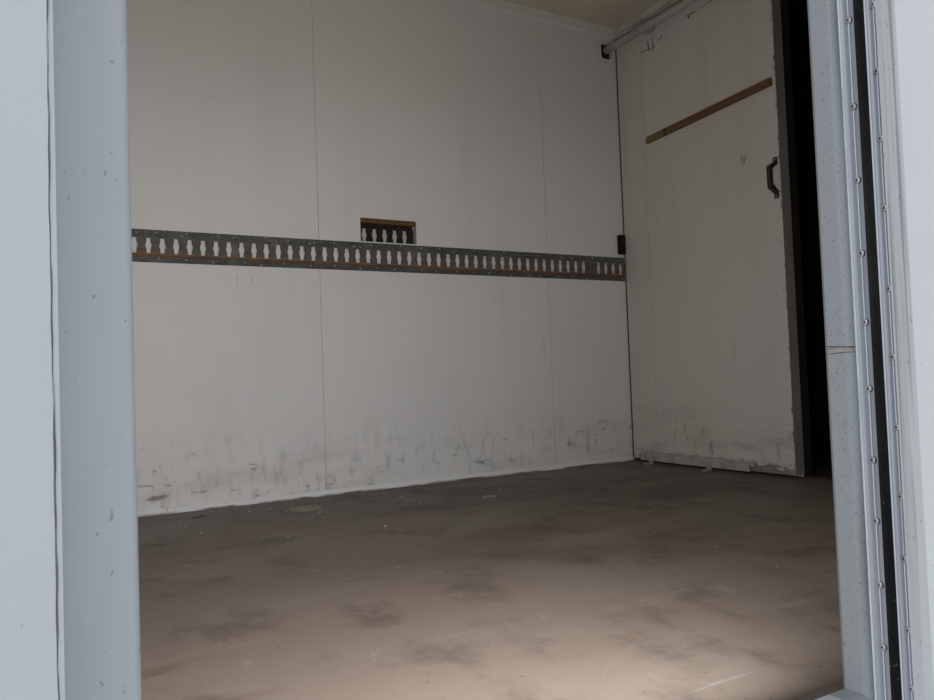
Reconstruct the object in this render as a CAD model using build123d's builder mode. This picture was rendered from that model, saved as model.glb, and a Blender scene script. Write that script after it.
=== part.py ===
"""Insulated load body of a box truck, in millimetres.

+X points to the front of the vehicle, +Y to its street side and +Z up. The origin is the
centre of the chassis bolt pattern, on the underside of the longsills. The side door stands
open at a right angle and the sliding door of the partition is parked on the street side.
"""

import os

from build123d import *

os.makedirs("parts", exist_ok=True)

# Shell
body_length = 6400
body_width = 2591
inner_height = 2381
wall_thickness = 90
roof_thickness = 80
floor_thickness = 76
deck_thickness = 4
liner_thickness = 3
sheet_joint = 2
rail_joint = 1

# Subframe
sill_height = 120
sill_width = 60
sill_spacing = 800
sill_web = 8
sill_flange = 10
sill_nose_length = 140
sill_nose_rise = 60
cross_height = 80
cross_flange = 46
cross_web = 6
cross_flange_thickness = 6
cross_pitch = 406
foot_pitch = 2350
foot_length = 160
foot_reach = 90
foot_height = 95
foot_thickness = 12
foot_bolt_radius = 9
foot_bolt_reach = 50

# Rails and posts of the shell
rail_proud = 3
top_rail_skirt = 65
top_rail_radius = 40
corner_radius = 93
corner_flange = 60
bottom_rail_lip = 8
bottom_rail_height = 103
rub_rail_radius = 12
rub_rail_rise = 38

# Rear frame and its two doors
rear_frame_depth = 110
rear_post_width = 98
rear_sill_drop = 30
rear_header_drop = 21
rear_door_thickness = 66
rear_door_proud = 6
rear_door_gap = 8
rear_centre_gap = 14
rear_seal_thickness = 3
rear_seal_width = 15
rear_pin_behind = 38
rear_pin_outboard = 6
strap_thickness = 8
rear_strap_length = 420
rear_strap_height = 64
rear_hinge_heights = (430, 1120, 1810, 2500)

# Hinges: what the rear and the side ones have in common
knuckle_radius = 12
knuckle_sides = 10
knuckle_clearance = 1
hinge_pin_radius = 6
hinge_pin_clearance = 0.05
hinge_bore_sides = 8
strap_neck_length = 80
strap_tip_height = 38
strap_tip_cut = 12
lug_height = 26
lug_base = 60

# Side doorway and its door
side_jamb_front = 67
side_opening_width = 978
side_opening_height = 2000
rebate_width = 58
rebate_depth = 51
frame_skin = 4
jamb_radius = 10
side_door_edge_gap = 6
side_door_thickness = 35
plug_height = 30
outer_retainer_width = 26
seal_width = 13
inner_retainer_width = 22
retainer_thickness = 5
retainer_rim = 1.5
retainer_channel = 3
retainer_flat = 2.6
retainer_ridge_share = 0.58
retainer_ridge_half = 1
seal_height = 10
seal_shoulder = 4
edging_width = 38
edging_steps = 3
side_pin_outboard = 25
side_pin_inboard = 37
side_strap_length = 460
side_strap_height = 60
side_hinge_heights = (480, 1280, 2080)
butt_standoff = 30
butt_plate_length = 60
butt_plate_thickness = 8

# Lock rods
rod_radius = 9
rod_standoff = 15
cam_width = 26
cam_height = 40
cam_end_gap = 8
cam_notch = 6
keeper_gap = 8
keeper_thickness = 8
rod_bracket_height = 44
rod_bracket_width = 70
rod_bracket_sheet = 4
rod_bracket_shares = (0.12, 0.5, 0.88)
handle_length = 300
handle_thickness = 8
handle_height = 28
handle_hub = 20
handle_taper = 50
catch_height = 56
rear_rod_offset = 230
side_rod_offset = 90
side_rod_standoff = 20
rod_handle_rise = 1100

# Partition, its opening and the sliding door
front_room_length = 1150
partition_thickness = 60
partition_opening_width = 900
partition_opening_height = 2240
sliding_door_gap = 12
sliding_door_thickness = 60
sliding_door_width = 1004
sliding_door_wall_gap = 10
sliding_door_floor_gap = 15
sliding_door_overlap = 14
door_skin_thickness = 3
door_strip_width = 185
batten_height = 33
batten_thickness = 16
batten_low_rise = 1692
batten_high_rise = 1728
batten_street_inset = 214
batten_curb_inset = 16
pull_rise = 1215
pull_length = 180
pull_projection = 50
pull_bar = 14
pull_width = 20
pull_edge_distance = 20
pull_foot_length = 34
pull_foot_thickness = 6
pull_arm_slant = 22
pull_corner_radius = 10

# Overhead tube, hangers and end sockets
tube_radius = 21
tube_standoff = 71
tube_rise = 2249
socket_width = 87
socket_height = 98
socket_depth = 26
socket_wall = 6
socket_corner = 14
hanger_spacing = 460
hanger_width = 56
hanger_clearance = 0.3
hanger_thickness = 8
hanger_rise = 64

# Floor guide and rubber keeper
guide_length = 700
guide_wall_distance = 111
guide_door_gap = 40
guide_bar_thickness = 6
guide_bar_height = 45
guide_floor_gap = 15
guide_foot_depth = 42
guide_tab_width = 28
guide_tab_inset = 79
guide_tab_spacing = 388
keeper_length = 37
keeper_height = 104
keeper_depth = 25
keeper_rise = 1124
keeper_door_gap = 9

# Lashing rails
rail_rise = 1042
rail_flange_width = 26
rail_web_width = 76
rail_depth = 12
rail_sheet = 3
rail_end_gap = 6
slot_pitch = 50.8
slot_phase = -601
slot_height = 60
slot_width = 17
slot_middle_width = 26
slot_middle_height = 30
old_rail_length = 266
old_rail_lift = 103
old_slot_pitch = 50.3
pocket_length = 278
pocket_rear = 284
pocket_depth = 30
pocket_clearance = 2
window_rise = 1112
window_height = 107

# Liner and trim strips
cove_height = 57
cove_thickness = 12
cove_bevel = 7
moulding_clearance = 6
moulding_groove = 5
moulding_groove_rise = 16
skirting_thickness = 10
skirting_bevel = 6
skirting_height = 23
tall_skirting_height = 40
skirting_break = -555
broken_end_gap = 13
drip_rail_gap = 130
drip_rail_overhang = 110
drip_rail_reach = 16
drip_rail_height = 22

# Lamps and rubber on the outside
tail_lamp_length = 210
tail_lamp_height = 84
lamp_depth = 24
lamp_draft = 18
tail_lamp_inset = 330
marker_length = 92
marker_height = 34
marker_depth = 16
marker_inset = 150
header_lamp_spacing = 170
bumper_width = 120
bumper_height = 150
bumper_depth = 60
bumper_slope = 22
bumper_inset = 40

# Levels and planes worked out from the sizes
cross_bottom = sill_height
floor_bottom = cross_bottom + cross_height
deck_bottom = floor_bottom + floor_thickness
floor_top = deck_bottom + deck_thickness
ceiling = floor_top + inner_height
roof_top = ceiling + roof_thickness
x_front = body_length / 2
x_rear = -body_length / 2
y_outer = body_width / 2
y_inner = y_outer - wall_thickness
y_core = y_inner + liner_thickness
y_skin = y_outer + rail_proud
x_inner = x_front - wall_thickness
x_frame = x_rear + rear_frame_depth
partition_front = x_inner - front_room_length
partition_rear = partition_front - partition_thickness
door_front = partition_rear - sliding_door_gap
door_rear = door_front - sliding_door_thickness
rail_end = door_rear - rail_end_gap
rail_height = floor_top + rail_rise
sides = (1, -1)


def block(x_low, x_high, y_low, y_high, z_low, z_high, mode=Mode.ADD):
    """Add or cut a block between two corners; on the curb side y may run downwards."""
    middle = ((x_low + x_high) / 2, (y_low + y_high) / 2, (z_low + z_high) / 2)
    with Locations(middle):
        Box(abs(x_high - x_low), abs(y_high - y_low), abs(z_high - z_low), mode=mode)


def panel(u_low, u_high, v_low, v_high, mode=Mode.ADD):
    """Draw or cut a rectangle between two corners, in a sketch."""
    with Locations(((u_low + u_high) / 2, (v_low + v_high) / 2)):
        Rectangle(abs(u_high - u_low), abs(v_high - v_low), mode=mode)


# Subframe: two channel longsills that open to the middle, with their noses cut away
with BuildPart() as longsills:
    with BuildSketch(Plane.YZ.offset(x_frame)):
        with GridLocations(sill_spacing, 0, 2, 1):
            with Locations((0, sill_height / 2)):
                Rectangle(sill_width, sill_height)
        with Locations((0, sill_height / 2)):
            Rectangle(sill_spacing + sill_width - 2 * sill_web,
                      sill_height - 2 * sill_flange, mode=Mode.SUBTRACT)
    extrude(amount=x_inner - x_frame)
    with BuildSketch(Plane.XZ):
        with BuildLine():
            Polyline((x_inner, 0), (x_inner, sill_nose_rise), (x_inner - sill_nose_length, 0),
                     close=True)
        make_face()
    extrude(amount=sill_spacing, both=True, mode=Mode.SUBTRACT)
longsills.part.label = "longsills"
export_step(longsills.part, "parts/longsills.step")

cross_count = int((x_inner - x_frame - cross_flange) // cross_pitch) + 1
with BuildPart() as crossmembers:
    with BuildSketch(Plane.XZ.offset(-y_core)):
        with Locations(((x_inner + x_frame) / 2, cross_bottom + cross_height / 2)):
            with GridLocations(cross_pitch, 0, cross_count, 1):
                Rectangle(cross_flange, cross_height)
                with GridLocations((cross_flange + cross_web) / 2, 0, 2, 1):
                    Rectangle((cross_flange - cross_web) / 2,
                              cross_height - 2 * cross_flange_thickness, mode=Mode.SUBTRACT)
    extrude(amount=2 * y_core)
crossmembers.part.label = "crossmembers"
export_step(crossmembers.part, "parts/crossmembers.step")

# Feet of angle with end gussets, welded to the outer faces of the longsills
sill_outside = sill_spacing / 2 + sill_width / 2
with BuildPart() as mounting_feet:
    for side in sides:
        for x in (-foot_pitch, 0, foot_pitch):
            wall = side * sill_outside
            block(x - foot_length / 2, x + foot_length / 2, wall, wall + side * foot_thickness,
                  0, foot_height)
            block(x - foot_length / 2, x + foot_length / 2, wall, wall + side * foot_reach,
                  0, foot_thickness)
            for end in (-1, 1):
                gusset_face = x + end * foot_length / 2
                with BuildSketch(Plane.YZ.offset(gusset_face)):
                    with BuildLine():
                        Polyline((wall, 0), (wall + side * foot_reach, 0), (wall, foot_height),
                                 close=True)
                    make_face()
                extrude(amount=-end * foot_thickness)
            with Locations((x, wall + side * foot_bolt_reach, foot_thickness)):
                Hole(foot_bolt_radius, foot_thickness)
mounting_feet.part.label = "mounting_feet"
export_step(mounting_feet.part, "parts/mounting_feet.step")

# Floor: an insulated slab and a deck of sheets that meet across the body
with BuildPart() as floor_panel:
    block(x_frame, x_inner, -y_core, y_core, floor_bottom, deck_bottom)
floor_panel.part.label = "floor_panel"
export_step(floor_panel.part, "parts/floor_panel.step")

deck_seams = (-1842, 596)
deck_ends = (x_frame, *deck_seams, x_inner)
with BuildPart() as floor_deck:
    for rear, front in zip(deck_ends[:-1], deck_ends[1:]):
        block(rear + sheet_joint / 2, front - sheet_joint / 2, -y_core, y_core,
              deck_bottom, floor_top)
floor_deck.part.label = "floor_deck"
export_step(floor_deck.part, "parts/floor_deck.step")

# Walls. The street wall has a pocket behind the window cut in its liner.
pocket_front = pocket_rear + pocket_length
pocket_middle = (pocket_rear + pocket_front) / 2
old_rail_height = rail_height + old_rail_lift
rail_half_width = rail_web_width / 2 + rail_flange_width
window_bottom = floor_top + window_rise
window_top = window_bottom + window_height
pocket_bottom = old_rail_height - rail_half_width - pocket_clearance
with BuildPart() as street_wall:
    block(x_frame, x_inner, y_core, y_outer, cross_bottom, ceiling)
    block(pocket_rear, pocket_front, y_core, y_core + pocket_depth,
          pocket_bottom, window_top, mode=Mode.SUBTRACT)
street_wall.part.label = "street_wall"
export_step(street_wall.part, "parts/street_wall.step")

# Side doorway: clear opening, rebate round it and the outside of its frame
jamb_front = side_jamb_front
jamb_rear = side_jamb_front - side_opening_width
lintel = floor_top + side_opening_height
doorway_middle = ((jamb_front + jamb_rear) / 2, (floor_top + lintel) / 2)
frame_margin = rebate_width + frame_skin


def doorway(margin, mode=Mode.ADD):
    """Draw the clear side opening grown by a margin, in a sketch on an XZ plane."""
    with Locations(doorway_middle):
        Rectangle(side_opening_width + 2 * margin, side_opening_height + 2 * margin, mode=mode)


with BuildPart() as curb_wall:
    block(x_frame, x_inner, -y_outer, -y_core, cross_bottom, ceiling)
    with BuildSketch(Plane.XZ.offset(y_core)):
        doorway(frame_margin)
    extrude(amount=y_outer - y_core, mode=Mode.SUBTRACT)
curb_wall.part.label = "curb_wall"
export_step(curb_wall.part, "parts/curb_wall.step")

with BuildPart() as side_door_frame:
    with BuildSketch(Plane.XZ.offset(y_core)):
        doorway(frame_margin)
        doorway(0, mode=Mode.SUBTRACT)
    extrude(amount=y_outer - rebate_depth - y_core)
    stop_edges = side_door_frame.faces().sort_by(Axis.Y)[0].inner_wires()[0].edges()
    fillet(stop_edges, jamb_radius)
    with BuildSketch(Plane.XZ.offset(y_outer - rebate_depth)):
        doorway(frame_margin)
        doorway(rebate_width, mode=Mode.SUBTRACT)
    extrude(amount=rebate_depth)
side_door_frame.part.label = "side_door_frame"
export_step(side_door_frame.part, "parts/side_door_frame.step")

with BuildPart() as front_wall:
    block(x_inner, x_front, -y_inner, y_inner, cross_bottom, ceiling)
front_wall.part.label = "front_wall"
export_step(front_wall.part, "parts/front_wall.step")

with BuildPart() as roof_panel:
    block(x_frame, x_inner, -y_inner, y_inner, ceiling + liner_thickness, roof_top)
roof_panel.part.label = "roof_panel"
export_step(roof_panel.part, "parts/roof_panel.step")

# Liner sheets: seams of the side walls and of the ceiling, from rear to front
wall_seams = (-2349, -1130, 89, 1308)
main_ends = (x_frame, *wall_seams, partition_rear)
ceiling_ends = (x_frame, -1065, 1374, partition_rear)
room_ends = (partition_front, x_inner)
liner_top = ceiling - liner_thickness
with BuildPart() as wall_liners:
    for ends in (main_ends, room_ends):
        for rear, front in zip(ends[:-1], ends[1:]):
            for side in sides:
                block(rear + sheet_joint / 2, front - sheet_joint / 2,
                      side * y_inner, side * y_core, floor_top, ceiling)
    for ends in (ceiling_ends, room_ends):
        for rear, front in zip(ends[:-1], ends[1:]):
            block(rear + sheet_joint / 2, front - sheet_joint / 2, -y_inner, y_inner,
                  ceiling, ceiling + liner_thickness)
    block(pocket_rear, pocket_front, y_inner, y_core, window_bottom, window_top,
          mode=Mode.SUBTRACT)
    with BuildSketch(Plane.XZ.offset(y_inner)):
        doorway(0)
    extrude(amount=liner_thickness, mode=Mode.SUBTRACT)
wall_liners.part.label = "wall_liners"
export_step(wall_liners.part, "parts/wall_liners.step")


def shell_outline(inset):
    """Draw the plan of the shell with its two round front corners, shrunk by an inset."""
    half = y_skin - inset
    nose = x_front + rail_proud - inset
    radius = corner_radius - inset
    with BuildLine() as outline:
        Polyline((nose - radius, half), (x_frame, half), (x_frame, -half), (nose - radius, -half))
        RadiusArc((nose - radius, -half), (nose, radius - half), -radius)
        Line((nose, radius - half), (nose, half - radius))
        RadiusArc((nose, half - radius), (nose - radius, half), -radius)
    make_face(outline.edges())


# Top rails: round extrusions over the wall tops, jointed behind the front corners
skirt_bottom = ceiling - top_rail_skirt
with BuildPart() as top_rails:
    with BuildSketch(Plane.XY.offset(skirt_bottom)):
        shell_outline(0)
    extrude(amount=roof_top - skirt_bottom)
    crown = top_rails.faces().sort_by(Axis.Z)[-1].edges().sort_by(Axis.X)[1:]
    fillet(crown, top_rail_radius)
    block(x_frame, x_inner, -y_outer, y_outer, skirt_bottom, ceiling, mode=Mode.SUBTRACT)
    block(x_inner, x_front, -y_inner, y_inner, skirt_bottom, ceiling, mode=Mode.SUBTRACT)
    block(x_frame, x_inner, -y_inner, y_inner, ceiling, roof_top, mode=Mode.SUBTRACT)
    block(x_inner - rail_joint, x_inner, -y_skin, y_skin, skirt_bottom, roof_top,
          mode=Mode.SUBTRACT)
top_rails.part.label = "top_rails"
export_step(top_rails.part, "parts/top_rails.step")

# Bottom rails: a skirt on the skin, a lip under the walls and a half-round rub rail
bottom_rail_low = cross_bottom - bottom_rail_lip
bottom_rail_high = bottom_rail_low + bottom_rail_height
rub_height = bottom_rail_low + rub_rail_rise
with BuildPart() as bottom_rails:
    with BuildSketch(Plane.XY.offset(bottom_rail_low)):
        shell_outline(0)
    extrude(amount=bottom_rail_height)
    with BuildSketch(Plane.XY.offset(cross_bottom)):
        shell_outline(rail_proud)
    extrude(amount=bottom_rail_height, mode=Mode.SUBTRACT)
    block(x_frame, x_inner, -y_inner, y_inner, bottom_rail_low, cross_bottom, mode=Mode.SUBTRACT)
    with BuildSketch(Plane.YZ.offset(x_frame)):
        with Locations((y_skin, rub_height), (-y_skin, rub_height)):
            Circle(rub_rail_radius)
        with Locations((0, rub_height)):
            Rectangle(2 * y_outer, 3 * rub_rail_radius, mode=Mode.SUBTRACT)
    extrude(amount=x_inner - x_frame - corner_flange)
    block(x_inner - rail_joint, x_inner, -y_skin, y_skin, bottom_rail_low, bottom_rail_high,
          mode=Mode.SUBTRACT)
bottom_rails.part.label = "bottom_rails"
export_step(bottom_rails.part, "parts/bottom_rails.step")

# Corner posts: round extrusions with flanges that lap the side and front skins
nose_x = x_front + rail_proud
with BuildPart() as corner_posts:
    with BuildSketch(Plane.XY.offset(bottom_rail_high)):
        with BuildLine():
            Polyline((nose_x - corner_radius, y_skin), (x_inner - corner_flange, y_skin),
                     (x_inner - corner_flange, y_outer), (x_inner, y_outer), (x_inner, y_inner),
                     (x_front, y_inner), (x_front, y_inner - corner_flange),
                     (nose_x, y_inner - corner_flange), (nose_x, y_skin - corner_radius))
            RadiusArc((nose_x, y_skin - corner_radius), (nose_x - corner_radius, y_skin),
                      -corner_radius)
        make_face()
    extrude(amount=skirt_bottom - bottom_rail_high)
    mirror(about=Plane.XZ)
corner_posts.part.label = "corner_posts"
export_step(corner_posts.part, "parts/corner_posts.step")

# Rear frame: posts, header and a deep sill, with the opening for the two doors
rear_opening_half = y_skin - rear_post_width
rear_opening_top = ceiling - rear_header_drop
rear_frame_low = cross_bottom - rear_sill_drop
with BuildPart() as rear_frame:
    with BuildSketch(Plane.YZ.offset(x_rear)) as rear_section:
        with Locations((0, (rear_frame_low + roof_top) / 2)):
            Rectangle(2 * y_skin, roof_top - rear_frame_low)
        fillet(rear_section.vertices().group_by(Axis.Y)[-1], top_rail_radius)
        with Locations((0, (floor_top + rear_opening_top) / 2)):
            Rectangle(2 * rear_opening_half, rear_opening_top - floor_top, mode=Mode.SUBTRACT)
    extrude(amount=rear_frame_depth)
rear_frame.part.label = "rear_frame"
export_step(rear_frame.part, "parts/rear_frame.step")

# Rear doors
rear_face = x_rear - rear_door_proud
rear_pin_x = x_rear - rear_pin_behind
rear_pin_y = y_skin + rear_pin_outboard
leaf_outer_edge = rear_opening_half - rear_door_gap
leaf_inner_edge = rear_centre_gap / 2
leaf_bottom = floor_top + rear_door_gap
leaf_top = rear_opening_top - rear_door_gap
rod_x = rear_face - rod_standoff
handle_z = floor_top + rod_handle_rise


def hinge_strap(gap, thickness, length, height, toward):
    """Build a tapered strap with its knuckle round an upright pin at the origin.

    The door's face lies at x = gap, and toward is the way the strap points along y.
    """
    half = height / 2
    tip = strap_tip_height / 2
    with BuildPart() as strap:
        with BuildSketch(Plane.XY.offset(-half)):
            RegularPolygon(knuckle_radius, knuckle_sides)
            panel(0, gap, 0, toward * knuckle_radius)
            panel(gap - thickness, gap, 0, toward * length)
            RegularPolygon(hinge_pin_radius + hinge_pin_clearance, hinge_bore_sides,
                           major_radius=False, mode=Mode.SUBTRACT)
        extrude(amount=height)
        upper = ((-knuckle_radius, half), (strap_neck_length, half),
                 (length - strap_tip_cut, tip), (length, tip - strap_tip_cut))
        lower = [(along, -rise) for along, rise in reversed(upper)]
        with BuildSketch(Plane.YZ.offset(-knuckle_radius)):
            Polygon(*[(toward * along, rise) for along, rise in (*upper, *lower)], align=None)
        extrude(amount=knuckle_radius + gap, mode=Mode.INTERSECT)
    return strap.part


def hinge_butt(reach, arm):
    """Build two lugs of the plan given by arm, above and below a knuckle, and their round pin."""
    with BuildPart() as butt:
        for low in (reach, -reach - lug_height):
            with BuildSketch(Plane.XY.offset(low)):
                RegularPolygon(knuckle_radius, knuckle_sides)
                Polygon(*arm, align=None)
            extrude(amount=lug_height)
        with BuildSketch(Plane.XY.offset(-reach)):
            Circle(hinge_pin_radius)
        extrude(amount=2 * reach)
    return butt.part


def lock_gear(low, high, gap, hand):
    """Build a lock rod round an upright axis at the origin, with cams, saddles and handle.

    The door's face lies at x = gap, and hand is the way the handle points along y.
    """
    half_cam = cam_width / 2
    cam = ((-rod_radius, cam_notch), (-cam_notch, half_cam), (rod_radius, half_cam),
           (rod_radius, cam_notch), (rod_radius - cam_notch, 0))
    half_saddle = rod_bracket_width / 2
    plate = gap - rod_bracket_sheet
    crown = rod_radius + rod_bracket_sheet / 2
    saddle = ((gap, half_saddle), (plate, half_saddle), (plate, half_saddle / 2),
              (0, crown + rod_bracket_sheet / 2), (-crown, rod_radius))
    grip = handle_height / 2
    handle = ((-handle_hub, handle_hub), (handle_hub, handle_hub), (handle_taper, grip),
              (handle_length - grip, grip), (handle_length, grip / 2))
    with BuildPart() as gear:
        with BuildSketch(Plane.XY.offset(low + cam_end_gap)):
            RegularPolygon(rod_radius, knuckle_sides)
        extrude(amount=high - low - 2 * cam_end_gap)
        for cam_low in (low, high - cam_height):
            with BuildSketch(Plane.XY.offset(cam_low)):
                Polygon(*cam, *[(x, -y) for x, y in cam[-2::-1]], align=None)
            extrude(amount=cam_height)
        for share in rod_bracket_shares:
            saddle_low = low + share * (high - low) - rod_bracket_height / 2
            with BuildSketch(Plane.XY.offset(saddle_low)):
                Polygon(*saddle, *[(x, -y) for x, y in reversed(saddle)], align=None)
            extrude(amount=rod_bracket_height)
        with BuildSketch(Plane.YZ.offset(-handle_thickness / 2)):
            with Locations((0, handle_z)):
                Polygon(*[(hand * y, z) for y, z in handle],
                        *[(hand * y, -z) for y, z in reversed(handle)], align=None)
        extrude(amount=handle_thickness)
        catch = hand * (handle_length - rod_bracket_width)
        block(-handle_thickness, gap, catch - rod_radius, catch + rod_radius,
              handle_z - catch_height / 2, handle_z + catch_height / 2)
    return gear.part


# Each rear door is a slab, a rubber bead round its edge, four straps and a lock rod
rear_door_table = (
    # side, name
    (1, "left"),
    (-1, "right"),
)
for side, name in rear_door_table:
    with BuildPart() as rear_door:
        with BuildSketch(Plane.YZ.offset(rear_face)):
            panel(side * leaf_inner_edge, side * leaf_outer_edge, leaf_bottom, leaf_top)
        extrude(amount=rear_door_thickness)
    rear_door.part.label = "rear_door_" + name
    export_step(rear_door.part, "parts/rear_door_" + name + ".step")

    with BuildPart() as rear_seal:
        with BuildSketch(Plane.YZ.offset(x_rear)):
            panel(side * (leaf_inner_edge - rear_seal_thickness),
                  side * (leaf_outer_edge + rear_seal_thickness),
                  leaf_bottom - rear_seal_thickness, leaf_top + rear_seal_thickness)
            panel(side * leaf_inner_edge, side * leaf_outer_edge, leaf_bottom, leaf_top,
                  mode=Mode.SUBTRACT)
        extrude(amount=rear_seal_width)
    rear_seal.part.label = "rear_seal_" + name
    export_step(rear_seal.part, "parts/rear_seal_" + name + ".step")

    rear_strap = hinge_strap(rear_face - rear_pin_x, strap_thickness, rear_strap_length,
                             rear_strap_height, -side)
    rear_lock = lock_gear(leaf_bottom - cam_height - cam_end_gap,
                          leaf_top + cam_height + cam_end_gap, rod_standoff, side)
    with BuildPart() as rear_hardware:
        with Locations(*[(rear_pin_x, side * rear_pin_y, z) for z in rear_hinge_heights]):
            add(rear_strap)
        with Locations((rod_x, side * rear_rod_offset, 0)):
            add(rear_lock)
    rear_hardware.part.label = "rear_hardware_" + name
    export_step(rear_hardware.part, "parts/rear_hardware_" + name + ".step")

# Side door, drawn shut and then swung open about its hinge pins
side_lap = rebate_width - side_door_edge_gap
lip_face = y_outer - side_door_thickness
lip_base = lip_face + retainer_thickness
side_pin_x = jamb_front + side_lap - side_pin_inboard
side_pin_y = -y_outer - side_pin_outboard
side_pin = Axis((side_pin_x, side_pin_y, 0), (0, 0, 1))
side_rest_angle = 90
outer_retainer_end = side_lap - outer_retainer_width
seal_end = outer_retainer_end - seal_width
inner_retainer_end = seal_end - inner_retainer_width
plug_margin = inner_retainer_end - edging_width

with BuildPart() as side_door:
    with BuildSketch(Plane.XZ.offset(y_outer)):
        doorway(side_lap)
    extrude(amount=lip_base - y_outer)
    with BuildSketch(Plane.XZ.offset(lip_base)):
        doorway(plug_margin)
    extrude(amount=-retainer_thickness - plug_height)
side_door_open = side_door.part.rotate(side_pin, side_rest_angle)
side_door_open.label = "side_door"
export_step(side_door_open, "parts/side_door.step")

# Stepped plastic edging round the plug, each step further in and higher
with BuildPart() as side_door_edging:
    for step in range(edging_steps):
        with BuildSketch(Plane.XZ.offset(lip_base)):
            doorway(inner_retainer_end - step * edging_width / edging_steps)
            doorway(plug_margin, mode=Mode.SUBTRACT)
        extrude(amount=-retainer_thickness - (step + 1) * plug_height / edging_steps)
side_door_edging_open = side_door_edging.part.rotate(side_pin, side_rest_angle)
side_door_edging_open.label = "side_door_edging"
export_step(side_door_edging_open, "parts/side_door_edging.step")


def door_run(margin):
    """Give the rectangle round the side doorway that a profile follows, from its foot's middle."""
    x, z = doorway_middle
    across = side_opening_width / 2 + margin
    up = side_opening_height / 2 + margin
    with BuildLine(Plane.XZ.offset(lip_base)) as run:
        Polyline((x, z - up), (x + across, z - up), (x + across, z + up), (x - across, z + up),
                 (x - across, z - up), close=True)
    return run.line


# Two retainer frames of one extrusion: rim, round channel, ridge for the rivets, flat and rim
retainer_table = (
    # outer margin, width
    (side_lap, outer_retainer_width),
    (seal_end, inner_retainer_width),
)
lip_top = retainer_thickness - lip_base
ridge_top = lip_top - retainer_rim / 2
with BuildPart() as side_door_retainers:
    for outer_margin, width in retainer_table:
        foot = floor_top - outer_margin
        ridge = foot + retainer_ridge_share * width
        with BuildSketch(Plane.YZ.offset(doorway_middle[0])):
            with BuildLine():
                Polyline((-lip_base, foot), (lip_top, foot), (lip_top, foot + retainer_rim))
                ThreePointArc((lip_top, foot + retainer_rim),
                              (lip_top - retainer_channel, (foot + ridge) / 2),
                              (ridge_top, ridge - retainer_ridge_half))
                Polyline((ridge_top, ridge - retainer_ridge_half),
                         (ridge_top, ridge + retainer_ridge_half),
                         (lip_top - retainer_flat, ridge + 2 * retainer_ridge_half),
                         (lip_top - retainer_flat, foot + width - retainer_rim),
                         (lip_top, foot + width - retainer_rim), (lip_top, foot + width),
                         (-lip_base, foot + width), (-lip_base, foot))
            make_face()
        sweep(path=door_run(outer_margin), transition=Transition.RIGHT)
side_door_retainers_open = side_door_retainers.part.rotate(side_pin, side_rest_angle)
side_door_retainers_open.label = "side_door_retainers"
export_step(side_door_retainers_open, "parts/side_door_retainers.step")

# The rubber between them, a bead with sloping shoulders
seal_foot = floor_top - outer_retainer_end
seal_top = lip_top + seal_height
with BuildPart() as side_door_seal:
    with BuildSketch(Plane.YZ.offset(doorway_middle[0])):
        with BuildLine():
            Polyline((-lip_base, seal_foot), (lip_top, seal_foot),
                     (seal_top - seal_shoulder, seal_foot + seal_shoulder / 2),
                     (seal_top, seal_foot + seal_shoulder),
                     (seal_top, seal_foot + seal_width - seal_shoulder),
                     (seal_top - seal_shoulder, seal_foot + seal_width - seal_shoulder / 2),
                     (lip_top, seal_foot + seal_width), (-lip_base, seal_foot + seal_width),
                     close=True)
        make_face()
    sweep(path=door_run(outer_retainer_end), transition=Transition.RIGHT)
side_door_seal_open = side_door_seal.part.rotate(side_pin, side_rest_angle)
side_door_seal_open.label = "side_door_seal"
export_step(side_door_seal_open, "parts/side_door_seal.step")

# Straps of the side door, turned so that their face meets the door's outer skin
face_turn = (0, 0, 90)
side_strap = hinge_strap(side_pin_outboard, side_pin_outboard - knuckle_radius,
                         side_strap_length, side_strap_height, 1)
with BuildPart() as side_door_hinges:
    with Locations(*[(side_pin_x, side_pin_y, z) for z in side_hinge_heights]):
        add(side_strap, rotation=face_turn)
side_door_hinges_open = side_door_hinges.part.rotate(side_pin, side_rest_angle)
side_door_hinges_open.label = "side_door_hinges"
export_step(side_door_hinges_open, "parts/side_door_hinges.step")

# Lock rod of the side door, on its outer face near the edge away from the hinges
side_rod_x = jamb_rear - side_lap + side_rod_offset
side_rod_y = -y_outer - side_rod_standoff
side_rod_low = floor_top - side_lap - cam_height - cam_end_gap
side_rod_high = lintel + side_lap + cam_height + cam_end_gap
side_lock = lock_gear(side_rod_low, side_rod_high, side_rod_standoff, -1)
with BuildPart() as side_door_lock:
    with Locations((side_rod_x, side_rod_y, 0)):
        add(side_lock, rotation=face_turn)
side_door_lock_open = side_door_lock.part.rotate(side_pin, side_rest_angle)
side_door_lock_open.label = "side_door_lock"
export_step(side_door_lock_open, "parts/side_door_lock.step")

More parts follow.
